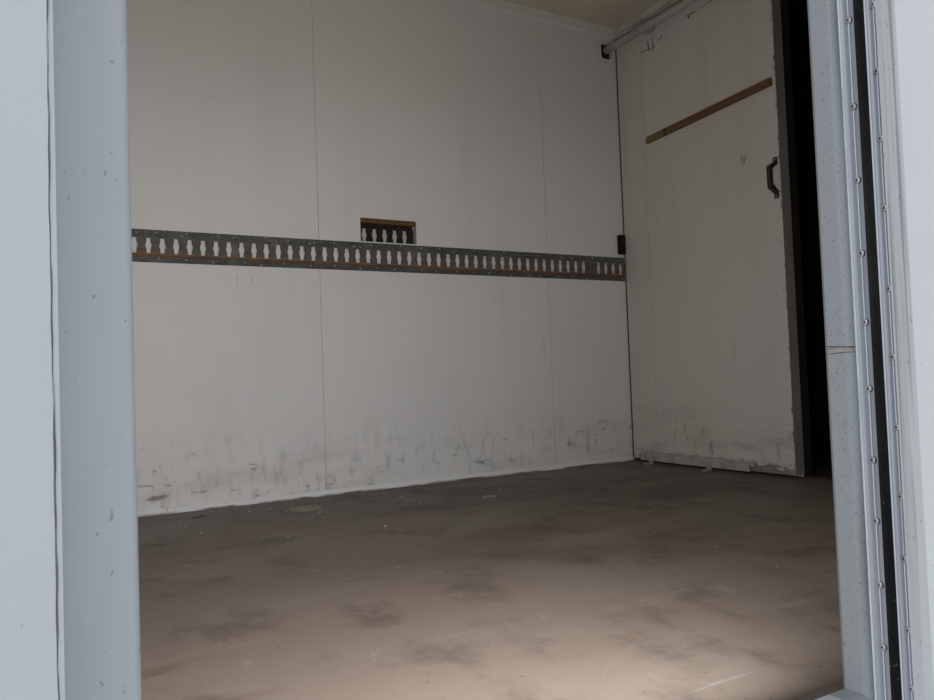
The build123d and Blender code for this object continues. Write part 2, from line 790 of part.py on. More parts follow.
# Fixed halves of the hinges: lugs on the rear posts, swan-neck butts by the side doorway
side_rebate_edge = jamb_front + frame_margin
butt_web = side_rebate_edge + butt_standoff
rear_arm = ((0, 0), (rear_pin_behind, 0), (rear_pin_behind, -lug_base), (0, -knuckle_radius))
rear_reach = rear_strap_height / 2 + knuckle_clearance
rear_butt = hinge_butt(rear_reach, rear_arm)
side_arm_end = butt_web + butt_plate_thickness - side_pin_x
side_arm = ((0, knuckle_radius), (side_arm_end, knuckle_radius),
            (side_arm_end, -knuckle_radius / 2), (side_arm_end - knuckle_radius, -knuckle_radius),
            (0, -knuckle_radius))
side_reach = side_strap_height / 2 + knuckle_clearance
side_butt = hinge_butt(side_reach, side_arm)
with BuildPart() as hinge_butts:
    with Locations(*[(rear_pin_x, rear_pin_y, z) for z in rear_hinge_heights]):
        add(rear_butt)
    mirror(about=Plane.XZ)
    with Locations(*[(side_pin_x, side_pin_y, z) for z in side_hinge_heights]):
        add(side_butt)
    for height in side_hinge_heights:
        low = height - side_reach - lug_height
        high = height + side_reach + lug_height
        block(butt_web, butt_web + butt_plate_thickness, side_pin_y, -y_outer, low, high)
        block(butt_web, butt_web + butt_plate_length, -y_outer - butt_plate_thickness,
              -y_outer, low, high)
hinge_butts.part.label = "hinge_butts"
export_step(hinge_butts.part, "parts/hinge_butts.step")

# Keepers: a pair of open ears each side of every lock cam
ear_offset = cam_width / 2 + keeper_gap + keeper_thickness / 2
ear_reach = rod_standoff + rod_radius
side_ear_reach = side_rod_standoff + rod_radius
with BuildPart() as lock_keepers:
    for side in sides:
        for ear in (-ear_offset, ear_offset):
            y = side * rear_rod_offset + ear
            for low in (leaf_bottom - cam_height - cam_end_gap, leaf_top + cam_end_gap):
                block(x_rear - rear_door_proud - ear_reach, x_rear, y - keeper_thickness / 2,
                      y + keeper_thickness / 2, low, low + cam_height)
    for ear in (-ear_offset, ear_offset):
        x = side_rod_x + ear
        block(x - keeper_thickness / 2, x + keeper_thickness / 2, -y_outer - side_ear_reach,
              -y_outer, side_rod_high - cam_height, side_rod_high)
        block(x - keeper_thickness / 2, x + keeper_thickness / 2, -y_outer - side_ear_reach,
              -y_skin, side_rod_low, bottom_rail_high)
lock_keepers.part.label = "lock_keepers"
export_step(lock_keepers.part, "parts/lock_keepers.step")

# Partition with its doorway, which the parked sliding door just laps
opening_street = y_inner - sliding_door_wall_gap - sliding_door_width + sliding_door_overlap
opening_curb = opening_street - partition_opening_width
opening_top = floor_top + partition_opening_height
with BuildPart() as partition_wall:
    block(partition_rear, partition_front, -y_inner, y_inner, floor_top, ceiling)
    block(partition_rear, partition_front, opening_curb, opening_street, floor_top, opening_top,
          mode=Mode.SUBTRACT)
partition_wall.part.label = "partition_wall"
export_step(partition_wall.part, "parts/partition_wall.step")

# Cove strips along the wall tops and the moulding over the sliding door
cove_bottom = ceiling - cove_height
cove_face = y_inner - cove_thickness
groove_bottom = cove_bottom + moulding_groove_rise
groove_top = groove_bottom + moulding_groove
with BuildPart() as cove_strips:
    for rear, front in ((x_frame, door_rear - rail_joint), (partition_front, x_inner)):
        with BuildSketch(Plane.YZ.offset(rear)):
            for side in sides:
                Polygon((side * y_inner, ceiling), (side * cove_face, ceiling),
                        (side * cove_face, cove_bottom + cove_bevel),
                        (side * (cove_face + cove_bevel), cove_bottom),
                        (side * y_inner, cove_bottom), align=None)
        extrude(amount=front - rear)
    with BuildSketch(Plane.XZ.offset(-y_inner)):
        panel(door_rear, partition_rear, cove_bottom, ceiling)
        panel(door_rear, door_rear + moulding_groove, groove_bottom, groove_top,
              mode=Mode.SUBTRACT)
    extrude(amount=2 * y_inner)
cove_strips.part.label = "cove_strips"
export_step(cove_strips.part, "parts/cove_strips.step")

# Skirting: a low strip, and a taller older length that ends broken
broken_end = skirting_break - broken_end_gap
broken_edge = (
    # distance from the broken end, share of the strip's height
    (0, 0),
    (5, 0.4),
    (-22, 0.8),
    (-60, 1),
)
skirting_y = y_inner - skirting_thickness
low_skirting_table = (
    # side, rear end
    (1, skirting_break),
    (-1, jamb_front + frame_margin),
)
with BuildPart() as skirting_strips:
    for side, rear in low_skirting_table:
        with BuildSketch(Plane.YZ.offset(rear)):
            Polygon((side * y_inner, floor_top), (side * skirting_y, floor_top),
                    (side * skirting_y, floor_top + skirting_height - skirting_bevel),
                    (side * (skirting_y + skirting_bevel), floor_top + skirting_height),
                    (side * y_inner, floor_top + skirting_height), align=None)
        extrude(amount=rail_end - rear)
    with BuildSketch(Plane.XZ.offset(-y_inner)):
        with BuildLine():
            Polyline((x_frame, floor_top),
                     *[(broken_end + along, floor_top + share * tall_skirting_height)
                       for along, share in broken_edge],
                     (x_frame, floor_top + tall_skirting_height), close=True)
        make_face()
    extrude(amount=skirting_thickness)
    block(x_frame, jamb_rear - frame_margin, -y_inner, -skirting_y, floor_top,
          floor_top + tall_skirting_height)
skirting_strips.part.label = "skirting_strips"
export_step(skirting_strips.part, "parts/skirting_strips.step")

# Lashing rails: hat sections with a row of slots, wide in the middle
rail_joints = (-1487, 1561)
slot_edge = (
    # half width, height from the middle
    (slot_width / 2, slot_height / 2),
    (slot_width / 2, slot_middle_height / 2),
    (slot_middle_width / 2, 0),
    (slot_width / 2, -slot_middle_height / 2),
    (slot_width / 2, -slot_height / 2),
)
slot_corners = [*slot_edge, *[(-half, rise) for half, rise in reversed(slot_edge)]]


def rail_edge(side, back, height, up):
    """List the (y, z) corners of one bent edge of a hat section, above or below its slots."""
    web = rail_web_width / 2
    lip = web + rail_flange_width
    corners = ((0, lip), (rail_sheet, lip), (rail_sheet, web), (rail_depth, web),
               (rail_depth, web - rail_sheet), (0, web - rail_sheet))
    return [(side * (back - out), height + up * rise) for out, rise in corners]


def slots_between(rear, front):
    """List the slot centres of the common row that fit whole between two ends."""
    first = int((rear + slot_middle_width - slot_phase) // slot_pitch) + 1
    last = int((front - slot_middle_width - slot_phase) // slot_pitch)
    return [slot_phase + slot_pitch * place for place in range(first, last + 1)]


rail_start = x_frame + rail_end_gap
street_lengths = (
    # rear end, front end
    (rail_start, rail_joints[0] - rail_joint),
    (rail_joints[0] + rail_joint, rail_joints[1] - rail_joint),
    (rail_joints[1] + rail_joint, rail_end),
)
curb_lengths = (
    (rail_start, rail_joints[0] - rail_joint),
    (rail_joints[0] + rail_joint, jamb_rear - frame_margin - rail_end_gap),
    (jamb_front + frame_margin + rail_end_gap, rail_joints[1] - rail_joint),
    (rail_joints[1] + rail_joint, rail_end),
)
old_lengths = ((pocket_middle - old_rail_length / 2, pocket_middle + old_rail_length / 2),)
old_first = pocket_middle - 2.25 * old_slot_pitch
rail_table = (
    # side, plane of the flanges, height, lengths, slot centres
    (1, y_inner, rail_height, street_lengths,
     [x for length in street_lengths for x in slots_between(*length)]),
    (-1, y_inner, rail_height, curb_lengths,
     [x for length in curb_lengths for x in slots_between(*length)]),
    (1, y_core + pocket_depth, old_rail_height, old_lengths,
     [old_first + old_slot_pitch * place for place in range(5)]),
)
with BuildPart() as lashing_rails:
    for side, back, height, lengths, slots in rail_table:
        for rear, front in lengths:
            with BuildSketch(Plane.YZ.offset(rear)):
                with BuildLine():
                    Polyline(*rail_edge(side, back, height, 1), close=True)
                make_face()
                with BuildLine():
                    Polyline(*rail_edge(side, back, height, -1), close=True)
                make_face()
            extrude(amount=front - rear)
    for side, back, height, lengths, slots in rail_table:
        with BuildSketch(Plane.XZ.offset(-side * (back - rail_depth))):
            for rear, front in lengths:
                with Locations(((rear + front) / 2, height)):
                    Rectangle(front - rear, rail_web_width - 2 * rail_sheet)
            with Locations(*[(x, height) for x in slots]):
                Polygon(*slot_corners, align=None, mode=Mode.SUBTRACT)
        extrude(amount=-side * rail_sheet, clean=False)
lashing_rails.part.label = "lashing_rails"
export_step(lashing_rails.part, "parts/lashing_rails.step")

# Sliding door, parked. Its skin is two sheets, the wide one torn along its foot.
door_street = y_inner - sliding_door_wall_gap
door_curb = door_street - sliding_door_width
door_bottom = floor_top + sliding_door_floor_gap
door_top = cove_bottom - moulding_clearance
core_rear = door_rear + door_skin_thickness
with BuildPart() as sliding_door:
    block(core_rear, door_front, door_curb, door_street, door_bottom, door_top)
sliding_door.part.label = "sliding_door"
export_step(sliding_door.part, "parts/sliding_door.step")

strip_edge = door_street - door_strip_width
torn_foot = (
    # distance from the curb edge, height above the foot of the door
    (0, 26),
    (70, 12),
    (150, 30),
    (240, 16),
    (330, 20),
    (365, 0),
)
with BuildPart() as sliding_door_skin:
    block(door_rear, core_rear, strip_edge + sheet_joint / 2, door_street, door_bottom, door_top)
    with BuildSketch(Plane.YZ.offset(door_rear)):
        with BuildLine():
            Polyline((door_curb, door_top),
                     *[(door_curb + along, door_bottom + rise) for along, rise in torn_foot],
                     (strip_edge - sheet_joint / 2, door_bottom),
                     (strip_edge - sheet_joint / 2, door_top), close=True)
        make_face()
    extrude(amount=door_skin_thickness)
sliding_door_skin.part.label = "sliding_door_skin"
export_step(sliding_door_skin.part, "parts/sliding_door_skin.step")

# Wooden batten nailed aslant across the sliding door
batten_half = batten_height / 2
batten_left = (door_street - batten_street_inset, floor_top + batten_low_rise)
batten_right = (door_curb + batten_curb_inset, floor_top + batten_high_rise)
with BuildPart() as sliding_door_batten:
    with BuildSketch(Plane.YZ.offset(door_rear)):
        with BuildLine():
            Polyline((batten_left[0], batten_left[1] - batten_half),
                     (batten_left[0], batten_left[1] + batten_half),
                     (batten_right[0], batten_right[1] + batten_half),
                     (batten_right[0], batten_right[1] - batten_half), close=True)
        make_face()
    extrude(amount=-batten_thickness)
sliding_door_batten.part.label = "sliding_door_batten"
export_step(sliding_door_batten.part, "parts/sliding_door_batten.step")

# Pull handle: a cast D with slanting arms and a flat foot at each end
pull_y = door_curb + pull_edge_distance
pull_low = floor_top + pull_rise
pull_middle = pull_low + pull_length / 2
pull_bow = door_rear - pull_projection
pull_foot = door_rear - pull_foot_thickness
pull_arm = pull_length / 2 - pull_foot_length
with BuildPart() as sliding_door_pull:
    with BuildSketch(Plane.XZ.offset(-pull_y - pull_width / 2)) as pull_outline:
        with Locations((0, pull_middle)):
            Polygon((pull_foot, pull_arm + pull_bar), (pull_bow, pull_arm + pull_bar - pull_arm_slant),
                    (pull_bow, pull_arm_slant - pull_arm - pull_bar),
                    (pull_foot, -pull_arm - pull_bar), align=None)
            Polygon((pull_foot, pull_arm), (pull_bow + pull_bar, pull_arm - pull_arm_slant),
                    (pull_bow + pull_bar, pull_arm_slant - pull_arm), (pull_foot, -pull_arm),
                    align=None, mode=Mode.SUBTRACT)
        bow_corners = pull_outline.vertices().sort_by(Axis.X)[:2]
        fillet(bow_corners, pull_corner_radius)
        for low in (pull_low, pull_low + pull_length - pull_foot_length):
            panel(pull_foot, door_rear, low, low + pull_foot_length)
    extrude(amount=pull_width)
sliding_door_pull.part.label = "sliding_door_pull"
export_step(sliding_door_pull.part, "parts/sliding_door_pull.step")

# Overhead tube, its end sockets and the hangers that ride on it
tube_x = door_rear - tube_standoff
tube_z = floor_top + tube_rise
tube_end = y_inner - socket_wall
with BuildPart() as overhead_tube:
    with BuildSketch(Plane.XZ.offset(-tube_end)):
        with Locations((tube_x, tube_z)):
            Circle(tube_radius)
    extrude(amount=2 * tube_end)
overhead_tube.part.label = "overhead_tube"
export_step(overhead_tube.part, "parts/overhead_tube.step")

socket_front = tube_x + tube_radius + socket_wall
socket_top = tube_z + tube_radius + 2 * socket_wall
socket_middle = (socket_front - socket_width / 2, socket_top - socket_height / 2)
with BuildPart() as tube_sockets:
    with BuildSketch(Plane.XZ.offset(-y_inner)) as socket_face:
        with Locations(socket_middle):
            Rectangle(socket_width, socket_height)
        chamfer(socket_face.vertices(), socket_corner)
    extrude(amount=socket_depth)
    with BuildSketch(Plane.XZ.offset(socket_wall - y_inner)) as socket_mouth:
        with Locations(socket_middle):
            Rectangle(socket_width - 2 * socket_wall, socket_height - 2 * socket_wall)
        chamfer(socket_mouth.vertices(), socket_corner - socket_wall / 2)
    extrude(amount=socket_depth - socket_wall, mode=Mode.SUBTRACT)
    mirror(about=Plane.XZ)
tube_sockets.part.label = "tube_sockets"
export_step(tube_sockets.part, "parts/tube_sockets.step")

saddle_inner = tube_radius + hanger_clearance
saddle_outer = saddle_inner + hanger_thickness
door_middle = (door_street + door_curb) / 2
with BuildPart() as sliding_door_hangers:
    for y in (door_middle - hanger_spacing / 2, door_middle + hanger_spacing / 2):
        with BuildSketch(Plane.XZ.offset(-y - hanger_width / 2)):
            with Locations((tube_x, tube_z)):
                Circle(saddle_outer)
            with Locations(((tube_x + door_rear) / 2, tube_z + hanger_thickness / 2)):
                Rectangle(tube_standoff, hanger_thickness)
            with Locations((door_rear - hanger_thickness / 2, tube_z + hanger_rise / 2)):
                Rectangle(hanger_thickness, hanger_rise)
            with Locations((tube_x, tube_z)):
                Circle(saddle_inner, mode=Mode.SUBTRACT)
            with Locations((tube_x - saddle_outer / 2 + saddle_inner / 2,
                            tube_z - saddle_outer / 2)):
                Rectangle(2 * saddle_outer + hanger_thickness, saddle_outer,
                          mode=Mode.SUBTRACT)
        extrude(amount=hanger_width)
sliding_door_hangers.part.label = "sliding_door_hangers"
export_step(sliding_door_hangers.part, "parts/sliding_door_hangers.step")

# Floor guide: a bar before the foot of the door, on two bent tabs
guide_high_y = y_inner - guide_wall_distance
guide_low_y = guide_high_y - guide_length
guide_face = door_rear - guide_door_gap
guide_front_face = guide_face - guide_bar_thickness
guide_bottom = floor_top + guide_floor_gap
with BuildPart() as floor_guide:
    block(guide_front_face, guide_face, guide_low_y, guide_high_y, guide_bottom,
          guide_bottom + guide_bar_height)
    for tab in (0, guide_tab_spacing):
        tab_y = guide_high_y - guide_tab_inset - tab
        block(guide_front_face - guide_bar_thickness, guide_front_face,
              tab_y - guide_tab_width / 2, tab_y + guide_tab_width / 2, floor_top,
              guide_bottom + guide_bar_height)
        block(guide_front_face - guide_foot_depth, guide_front_face,
              tab_y - guide_tab_width / 2, tab_y + guide_tab_width / 2, floor_top,
              floor_top + guide_bar_thickness)
floor_guide.part.label = "floor_guide"
export_step(floor_guide.part, "parts/floor_guide.step")

# Rubber: the keeper beside the sliding door and two dock bumpers on the rear sill
keeper_front = door_rear - keeper_door_gap
keeper_bottom = floor_top + keeper_rise
bumper_outer = y_skin - bumper_inset
sill_middle = (rear_frame_low + floor_top) / 2
with BuildPart() as rubber_bumpers:
    with BuildSketch(Plane.XZ.offset(-bumper_outer)):
        Polygon((x_rear, sill_middle - bumper_height / 2),
                (x_rear - bumper_depth, sill_middle - bumper_height / 2 + bumper_slope),
                (x_rear - bumper_depth, sill_middle + bumper_height / 2 - bumper_slope),
                (x_rear, sill_middle + bumper_height / 2), align=None)
    extrude(amount=bumper_width)
    mirror(about=Plane.XZ)
    block(keeper_front - keeper_length, keeper_front, y_inner - keeper_depth, y_inner,
          keeper_bottom, keeper_bottom + keeper_height)
rubber_bumpers.part.label = "rubber_bumpers"
export_step(rubber_bumpers.part, "parts/rubber_bumpers.step")

# Lamps: lenses with sloping sides and cut corners
with BuildPart() as tail_lamps:
    with BuildSketch(Plane.YZ.offset(x_rear)) as tail_lenses:
        with GridLocations(2 * (y_skin - tail_lamp_inset), 0, 2, 1):
            with Locations((0, sill_middle)):
                Rectangle(tail_lamp_length, tail_lamp_height)
        chamfer(tail_lenses.vertices(), tail_lamp_height / 4)
    extrude(amount=-lamp_depth, taper=lamp_draft)
tail_lamps.part.label = "tail_lamps"
export_step(tail_lamps.part, "parts/tail_lamps.step")

front_lamp_z = roof_top - top_rail_radius - marker_height
corner_lamp_y = y_inner - marker_inset
centre_lamps = [(place * header_lamp_spacing, 0) for place in (-1, 0, 1)]
with BuildPart() as marker_lamps:
    with BuildSketch(Plane.YZ.offset(x_front + rail_proud)) as front_lenses:
        with Locations((0, front_lamp_z)):
            with Locations(*centre_lamps, (corner_lamp_y, 0), (-corner_lamp_y, 0)):
                Rectangle(marker_length, marker_height)
        chamfer(front_lenses.vertices(), marker_height / 3)
    extrude(amount=marker_depth, taper=lamp_draft)
    with BuildSketch(Plane.YZ.offset(x_rear)) as rear_lenses:
        with Locations((0, roof_top - marker_height)):
            with Locations(*centre_lamps):
                Rectangle(marker_length, marker_height)
        chamfer(rear_lenses.vertices(), marker_height / 3)
    extrude(amount=-marker_depth, taper=lamp_draft)
marker_lamps.part.label = "marker_lamps"
export_step(marker_lamps.part, "parts/marker_lamps.step")

# Drip rail: a small gutter over the side doorway
drip_low = lintel + drip_rail_gap
with BuildPart() as drip_rail:
    with BuildSketch(Plane.YZ.offset(jamb_rear - drip_rail_overhang)):
        with BuildLine():
            Polyline((-y_outer, drip_low), (-y_outer, drip_low + drip_rail_height),
                     (-y_outer - frame_skin, drip_low + drip_rail_height),
                     (-y_outer - frame_skin, drip_low + frame_skin),
                     (-y_outer - drip_rail_reach, drip_low + frame_skin),
                     (-y_outer - drip_rail_reach, drip_low), close=True)
        make_face()
    extrude(amount=side_opening_width + 2 * drip_rail_overhang)
drip_rail.part.label = "drip_rail"
export_step(drip_rail.part, "parts/drip_rail.step")
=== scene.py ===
"""Looks for the insulated load body of a box truck.

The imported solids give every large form. This script gives each of them a finish, adds the
small pieces that the solids leave out, such as rivets, screws, sealant, seam strips and lamp
rims, and sets up a pale floor, soft lamps and a camera that looks in through the side doorway.
"""

import logging
import math
from dataclasses import dataclass
from enum import Enum, IntEnum
from typing import Optional, Sequence, Union

import bmesh
import bpy
import numpy as np
from mathutils import Matrix, Vector


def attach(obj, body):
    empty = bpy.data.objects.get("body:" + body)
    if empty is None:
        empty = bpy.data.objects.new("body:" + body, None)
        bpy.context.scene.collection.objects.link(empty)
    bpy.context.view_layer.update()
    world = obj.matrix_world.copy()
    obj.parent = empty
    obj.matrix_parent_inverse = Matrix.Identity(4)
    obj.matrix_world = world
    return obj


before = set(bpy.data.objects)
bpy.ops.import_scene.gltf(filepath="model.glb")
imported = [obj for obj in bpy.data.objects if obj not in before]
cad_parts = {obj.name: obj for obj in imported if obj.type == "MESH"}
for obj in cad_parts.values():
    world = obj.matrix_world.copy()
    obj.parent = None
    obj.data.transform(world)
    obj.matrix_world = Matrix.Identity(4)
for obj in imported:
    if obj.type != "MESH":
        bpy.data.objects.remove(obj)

LOG = logging.getLogger("load_body")
MM = 0.001
MERGE_WITHIN = 1e-6
FLOOR_Z = 0.28
HINGE_HEIGHTS = (0.48, 1.28, 2.08)
LAYER_SHIFT = 3.1
RELIEF_SHIFT = 7.3
Colour = tuple[float, float, float]
Number = Union[float, "Signal"]


class Body(str, Enum):
    """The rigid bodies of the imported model."""

    BOX = "box"
    SLIDING = "sliding_door"
    SIDE = "side_door"
    REAR_LEFT = "rear_door_left"
    REAR_RIGHT = "rear_door_right"


class Axis(IntEnum):
    """The axes of the part: along the body, across it and up."""

    X = 0
    Y = 1
    Z = 2


class Source(Enum):
    """Where the mask of a layer comes from, where ALL is its spans alone."""

    NOISE = "noise"
    CELLS = "cells"
    EDGES = "edges"
    ALL = "all"


class Signal:
    """A number that varies over a surface: one socket of a node tree, with arithmetic."""

    def __init__(self, graph: "Graph", socket: bpy.types.NodeSocket) -> None:
        """Keep the socket and the graph that it belongs to."""
        self.graph = graph
        self.socket = socket

    def _math(self, operation: str, *values: Number) -> "Signal":
        """Add a Math node.

        Args:
            operation: the node's operation.
            values: its inputs, in order.

        Returns:
            The node's result.
        """
        inputs = dict(enumerate(values))
        node = self.graph.node("ShaderNodeMath", {"operation": operation}, inputs)
        return Signal(self.graph, node.outputs[0])

    def __add__(self, other: Number) -> "Signal":
        """Sum."""
        return self._math("ADD", self, other)

    def __sub__(self, other: Number) -> "Signal":
        """Difference."""
        return self._math("SUBTRACT", self, other)

    def __rsub__(self, other: Number) -> "Signal":
        """Difference the other way round."""
        return self._math("SUBTRACT", other, self)

    def __mul__(self, other: Number) -> "Signal":
        """Product."""
        return self._math("MULTIPLY", self, other)

    __radd__ = __add__
    __rmul__ = __mul__

    def above(self, low: float, high: float) -> "Signal":
        """Rise smoothly from 0 at low to 1 at high, or fall where low is the larger.

        Args:
            low: the value that gives 0.
            high: the value that gives 1.

        Returns:
            The mask.
        """
        settings = {"interpolation_type": "SMOOTHSTEP", "clamp": True}
        ends = {0: self, 1: min(low, high), 2: max(low, high), 3: 0.0, 4: 1.0}
        if low > high:
            ends[3], ends[4] = 1.0, 0.0
        node = self.graph.node("ShaderNodeMapRange", settings, ends)
        return Signal(self.graph, node.outputs[0])


class Graph:
    """The node tree of one material."""

    def __init__(self, name: str) -> None:
        """Start a material with only its output.

        Args:
            name: the material's name.
        """
        self.material = bpy.data.materials.new(name)
        self.material.use_nodes = True
        self.tree = self.material.node_tree
        self.tree.nodes.clear()
        self.output = self.tree.nodes.new("ShaderNodeOutputMaterial")
        self._place: Optional[bpy.types.NodeSocket] = None
        self._axes: Optional[list[Signal]] = None

    def node(self, kind: str, settings: dict, inputs: dict) -> bpy.types.Node:
        """Add a node.

        Args:
            kind: the node's type.
            settings: attributes set before the sockets.
            inputs: values or links by socket name or number.

        Returns:
            The new node.
        """
        node = self.tree.nodes.new(kind)
        for name, value in settings.items():
            setattr(node, name, value)
        for name, value in inputs.items():
            if isinstance(value, Signal):
                value = value.socket
            if isinstance(value, bpy.types.NodeSocket):
                self.tree.links.new(value, node.inputs[name])
            else:
                node.inputs[name].default_value = value
        return node

    @property
    def place(self) -> bpy.types.NodeSocket:
        """The point on the object, in metres.

        Returns:
            The vector socket, made at its first use.
        """
        if self._place is None:
            self._place = self.node("ShaderNodeTexCoord", {}, {}).outputs["Object"]
        return self._place

    @property
    def axes(self) -> list[Signal]:
        """The x, y and z of the point, each as a signal.

        Returns:
            The three signals, made at their first use.
        """
        if self._axes is None:
            split = self.node("ShaderNodeSeparateXYZ", {}, {0: self.place})
            self._axes = [Signal(self, socket) for socket in split.outputs]
        return self._axes

    def scaled(self, scale: Sequence[float], shift: float) -> bpy.types.NodeSocket:
        """Stretch and shift the point, so that a pattern runs along one axis.

        Args:
            scale: factors along x, y and z.
            shift: an offset that makes each use of a pattern differ.

        Returns:
            The vector socket.
        """
        node = self.node("ShaderNodeMapping", {}, {"Vector": self.place,
                                                   "Location": (shift, 0.7 * shift, 0.3 * shift),
                                                   "Scale": tuple(scale)})
        return node.outputs[0]

    def noise(self, scale: Sequence[float], detail: float, shift: float) -> Signal:
        """A cloud pattern with a given number of blobs a metre along each axis."""
        node = self.node("ShaderNodeTexNoise", {}, {"Vector": self.scaled(scale, shift),
                                                    "Scale": 1.0, "Detail": detail,
                                                    "Roughness": 0.6})
        return Signal(self, node.outputs[0])

    def cells(self, scale: Sequence[float], shift: float) -> Signal:
        """The distance to scattered points, small at each of them."""
        node = self.node("ShaderNodeTexVoronoi", {}, {"Vector": self.scaled(scale, shift),
                                                      "Scale": 1.0})
        return Signal(self, node.outputs["Distance"])

    def rounded_normal(self, radius: float) -> bpy.types.NodeSocket:
        """The normal as if every edge were rounded off by a radius."""
        node = self.node("ShaderNodeBevel", {"samples": 4}, {"Radius": radius})
        return node.outputs[0]

    def edges(self, radius: float) -> Signal:
        """A mask of edges: how far the rounded normal leans from the true one.

        Args:
            radius: the radius of the rounding, in metres.

        Returns:
            The mask, 0 on flat faces and up to 1 on an edge.
        """
        least_lean, full_lean = 0.01, 0.16
        true = self.node("ShaderNodeNewGeometry", {}, {}).outputs["True Normal"]
        lean = self.node("ShaderNodeVectorMath", {"operation": "DOT_PRODUCT"},
                         {0: self.rounded_normal(radius), 1: true})
        return (1.0 - Signal(self, lean.outputs["Value"])).above(least_lean, full_lean)

    def mix(self, mask: Number, under: Union[Colour, bpy.types.NodeSocket],
            over: Colour) -> bpy.types.NodeSocket:
        """Lay one colour over another where the mask is high.

        Args:
            mask: from 0 to 1.
            under: the colour or socket below.
            over: the colour above.

        Returns:
            The mixed colour's socket.
        """
        below = (*under, 1.0) if isinstance(under, tuple) else under
        node = self.node("ShaderNodeMix", {"data_type": "RGBA"},
                         {0: mask, 6: below, 7: (*over, 1.0)})
        return node.outputs[2]


@dataclass(frozen=True)
class Span:
    """A stretch along one axis, in metres, with soft ends."""

    axis: Axis
    low: float
    high: float
    soft: float = 0.05

    def mask(self, graph: Graph) -> Signal:
        """One inside the stretch, fading to nought over the soft width outside it.

        Args:
            graph: the material's tree.

        Returns:
            The mask.
        """
        place = graph.axes[self.axis]
        rise = place.above(self.low - self.soft, self.low)
        return rise * place.above(self.high + self.soft, self.high)


@dataclass(frozen=True)
class Layer:
    """One tone laid over a finish where a pattern is high.

    In order: the tone, the blobs a metre along each axis, the pattern's values that give
    none and all of the tone, its amount, its detail and the roughness that comes with it.
    """

    tone: Colour
    scale: tuple[float, float, float] = (1.0, 1.0, 1.0)
    low: float = 0.45
    high: float = 0.65
    amount: float = 1.0
    detail: float = 4.0
    rough: Optional[float] = None
    source: Source = Source.NOISE
    spans: tuple[Span, ...] = ()
    radius: float = 0.0

    def mask(self, graph: Graph, shift: float) -> Signal:
        """Work out where the tone lies.

        Args:
            graph: the material's tree.
            shift: an offset for the pattern.

        Returns:
            The mask, from 0 to the layer's amount.
        """
        if self.source is Source.EDGES:
            mask = graph.edges(self.radius) * self.amount
        elif self.source is Source.CELLS:
            mask = graph.cells(self.scale, shift).above(self.low, self.high) * self.amount
        elif self.source is Source.NOISE:
            pattern = graph.noise(self.scale, self.detail, shift)
            mask = pattern.above(self.low, self.high) * self.amount
        else:
            # The first span counts twice here, which makes its soft ends steeper.
            mask = self.spans[0].mask(graph) * self.amount
        for span in self.spans:
            mask = mask * span.mask(graph)
        return mask


@dataclass(frozen=True)
class Relief:
    """A height pattern, with its depth in metres."""

    scale: tuple[float, float, float]
    depth: float
    detail: float = 4.0


@dataclass(frozen=True)
class Finish:
    """A surface finish: a base tone, tones laid over it in turn, and a relief."""

    name: str
    base: Colour
    rough: float = 0.5
    metal: float = 0.0
    coat: float = 0.0
    layers: tuple[Layer, ...] = ()
    relief: tuple[Relief, ...] = ()
    rounding: float = 0.0
    shine: float = 0.5

    def material(self) -> bpy.types.Material:
        """Build the material once and hand out the same one after that.

        Returns:
            The material.
        """
        found = bpy.data.materials.get(self.name)
        if found is not None:
            return found
        graph = Graph(self.name)
        colour: Union[Colour, bpy.types.NodeSocket] = self.base
        rough: Number = self.rough
        for number, layer in enumerate(self.layers):
            mask = layer.mask(graph, LAYER_SHIFT * number)
            colour = graph.mix(mask, colour, layer.tone)
            if layer.rough is not None:
                rough = mask * layer.rough + (1.0 - mask) * rough
        inputs: dict = {"Roughness": rough, "Metallic": self.metal, "Coat Weight": self.coat}
        inputs["Base Color"] = (*colour, 1.0) if isinstance(colour, tuple) else colour
        inputs["Specular IOR Level"] = self.shine
        normal = graph.rounded_normal(self.rounding) if self.rounding > 0.0 else None
        height: Optional[Signal] = None
        for number, relief in enumerate(self.relief):
            pattern = graph.noise(relief.scale, relief.detail, RELIEF_SHIFT + number)
            pattern = pattern * relief.depth
            height = pattern if height is None else height + pattern
        if height is not None:
            links: dict = {"Height": height, "Distance": 1.0, "Strength": 1.0}
            if normal is not None:
                links["Normal"] = normal
            normal = graph.node("ShaderNodeBump", {}, links).outputs[0]
        if normal is not None:
            inputs["Normal"] = normal
        shader = graph.node("ShaderNodeBsdfPrincipled", {}, inputs)
        graph.tree.links.new(shader.outputs[0], graph.output.inputs[0])
        return graph.material


def walls_dirt(tone: Colour, height: float, amount: float) -> Layer:
    """Smudges that thicken towards the floor.

    Args:
        tone: the dirt's colour.
        height: how far up from the floor they reach, in metres.
        amount: their strength.

    Returns:
        The layer.
    """
    below, full_share = 0.2, 0.3
    return Layer(tone, (3.0, 3.0, 14.0), 0.42, 0.75, amount, 8.0, 0.8,
                 spans=(Span(Axis.Z, FLOOR_Z - below, FLOOR_Z + full_share * height, height),))


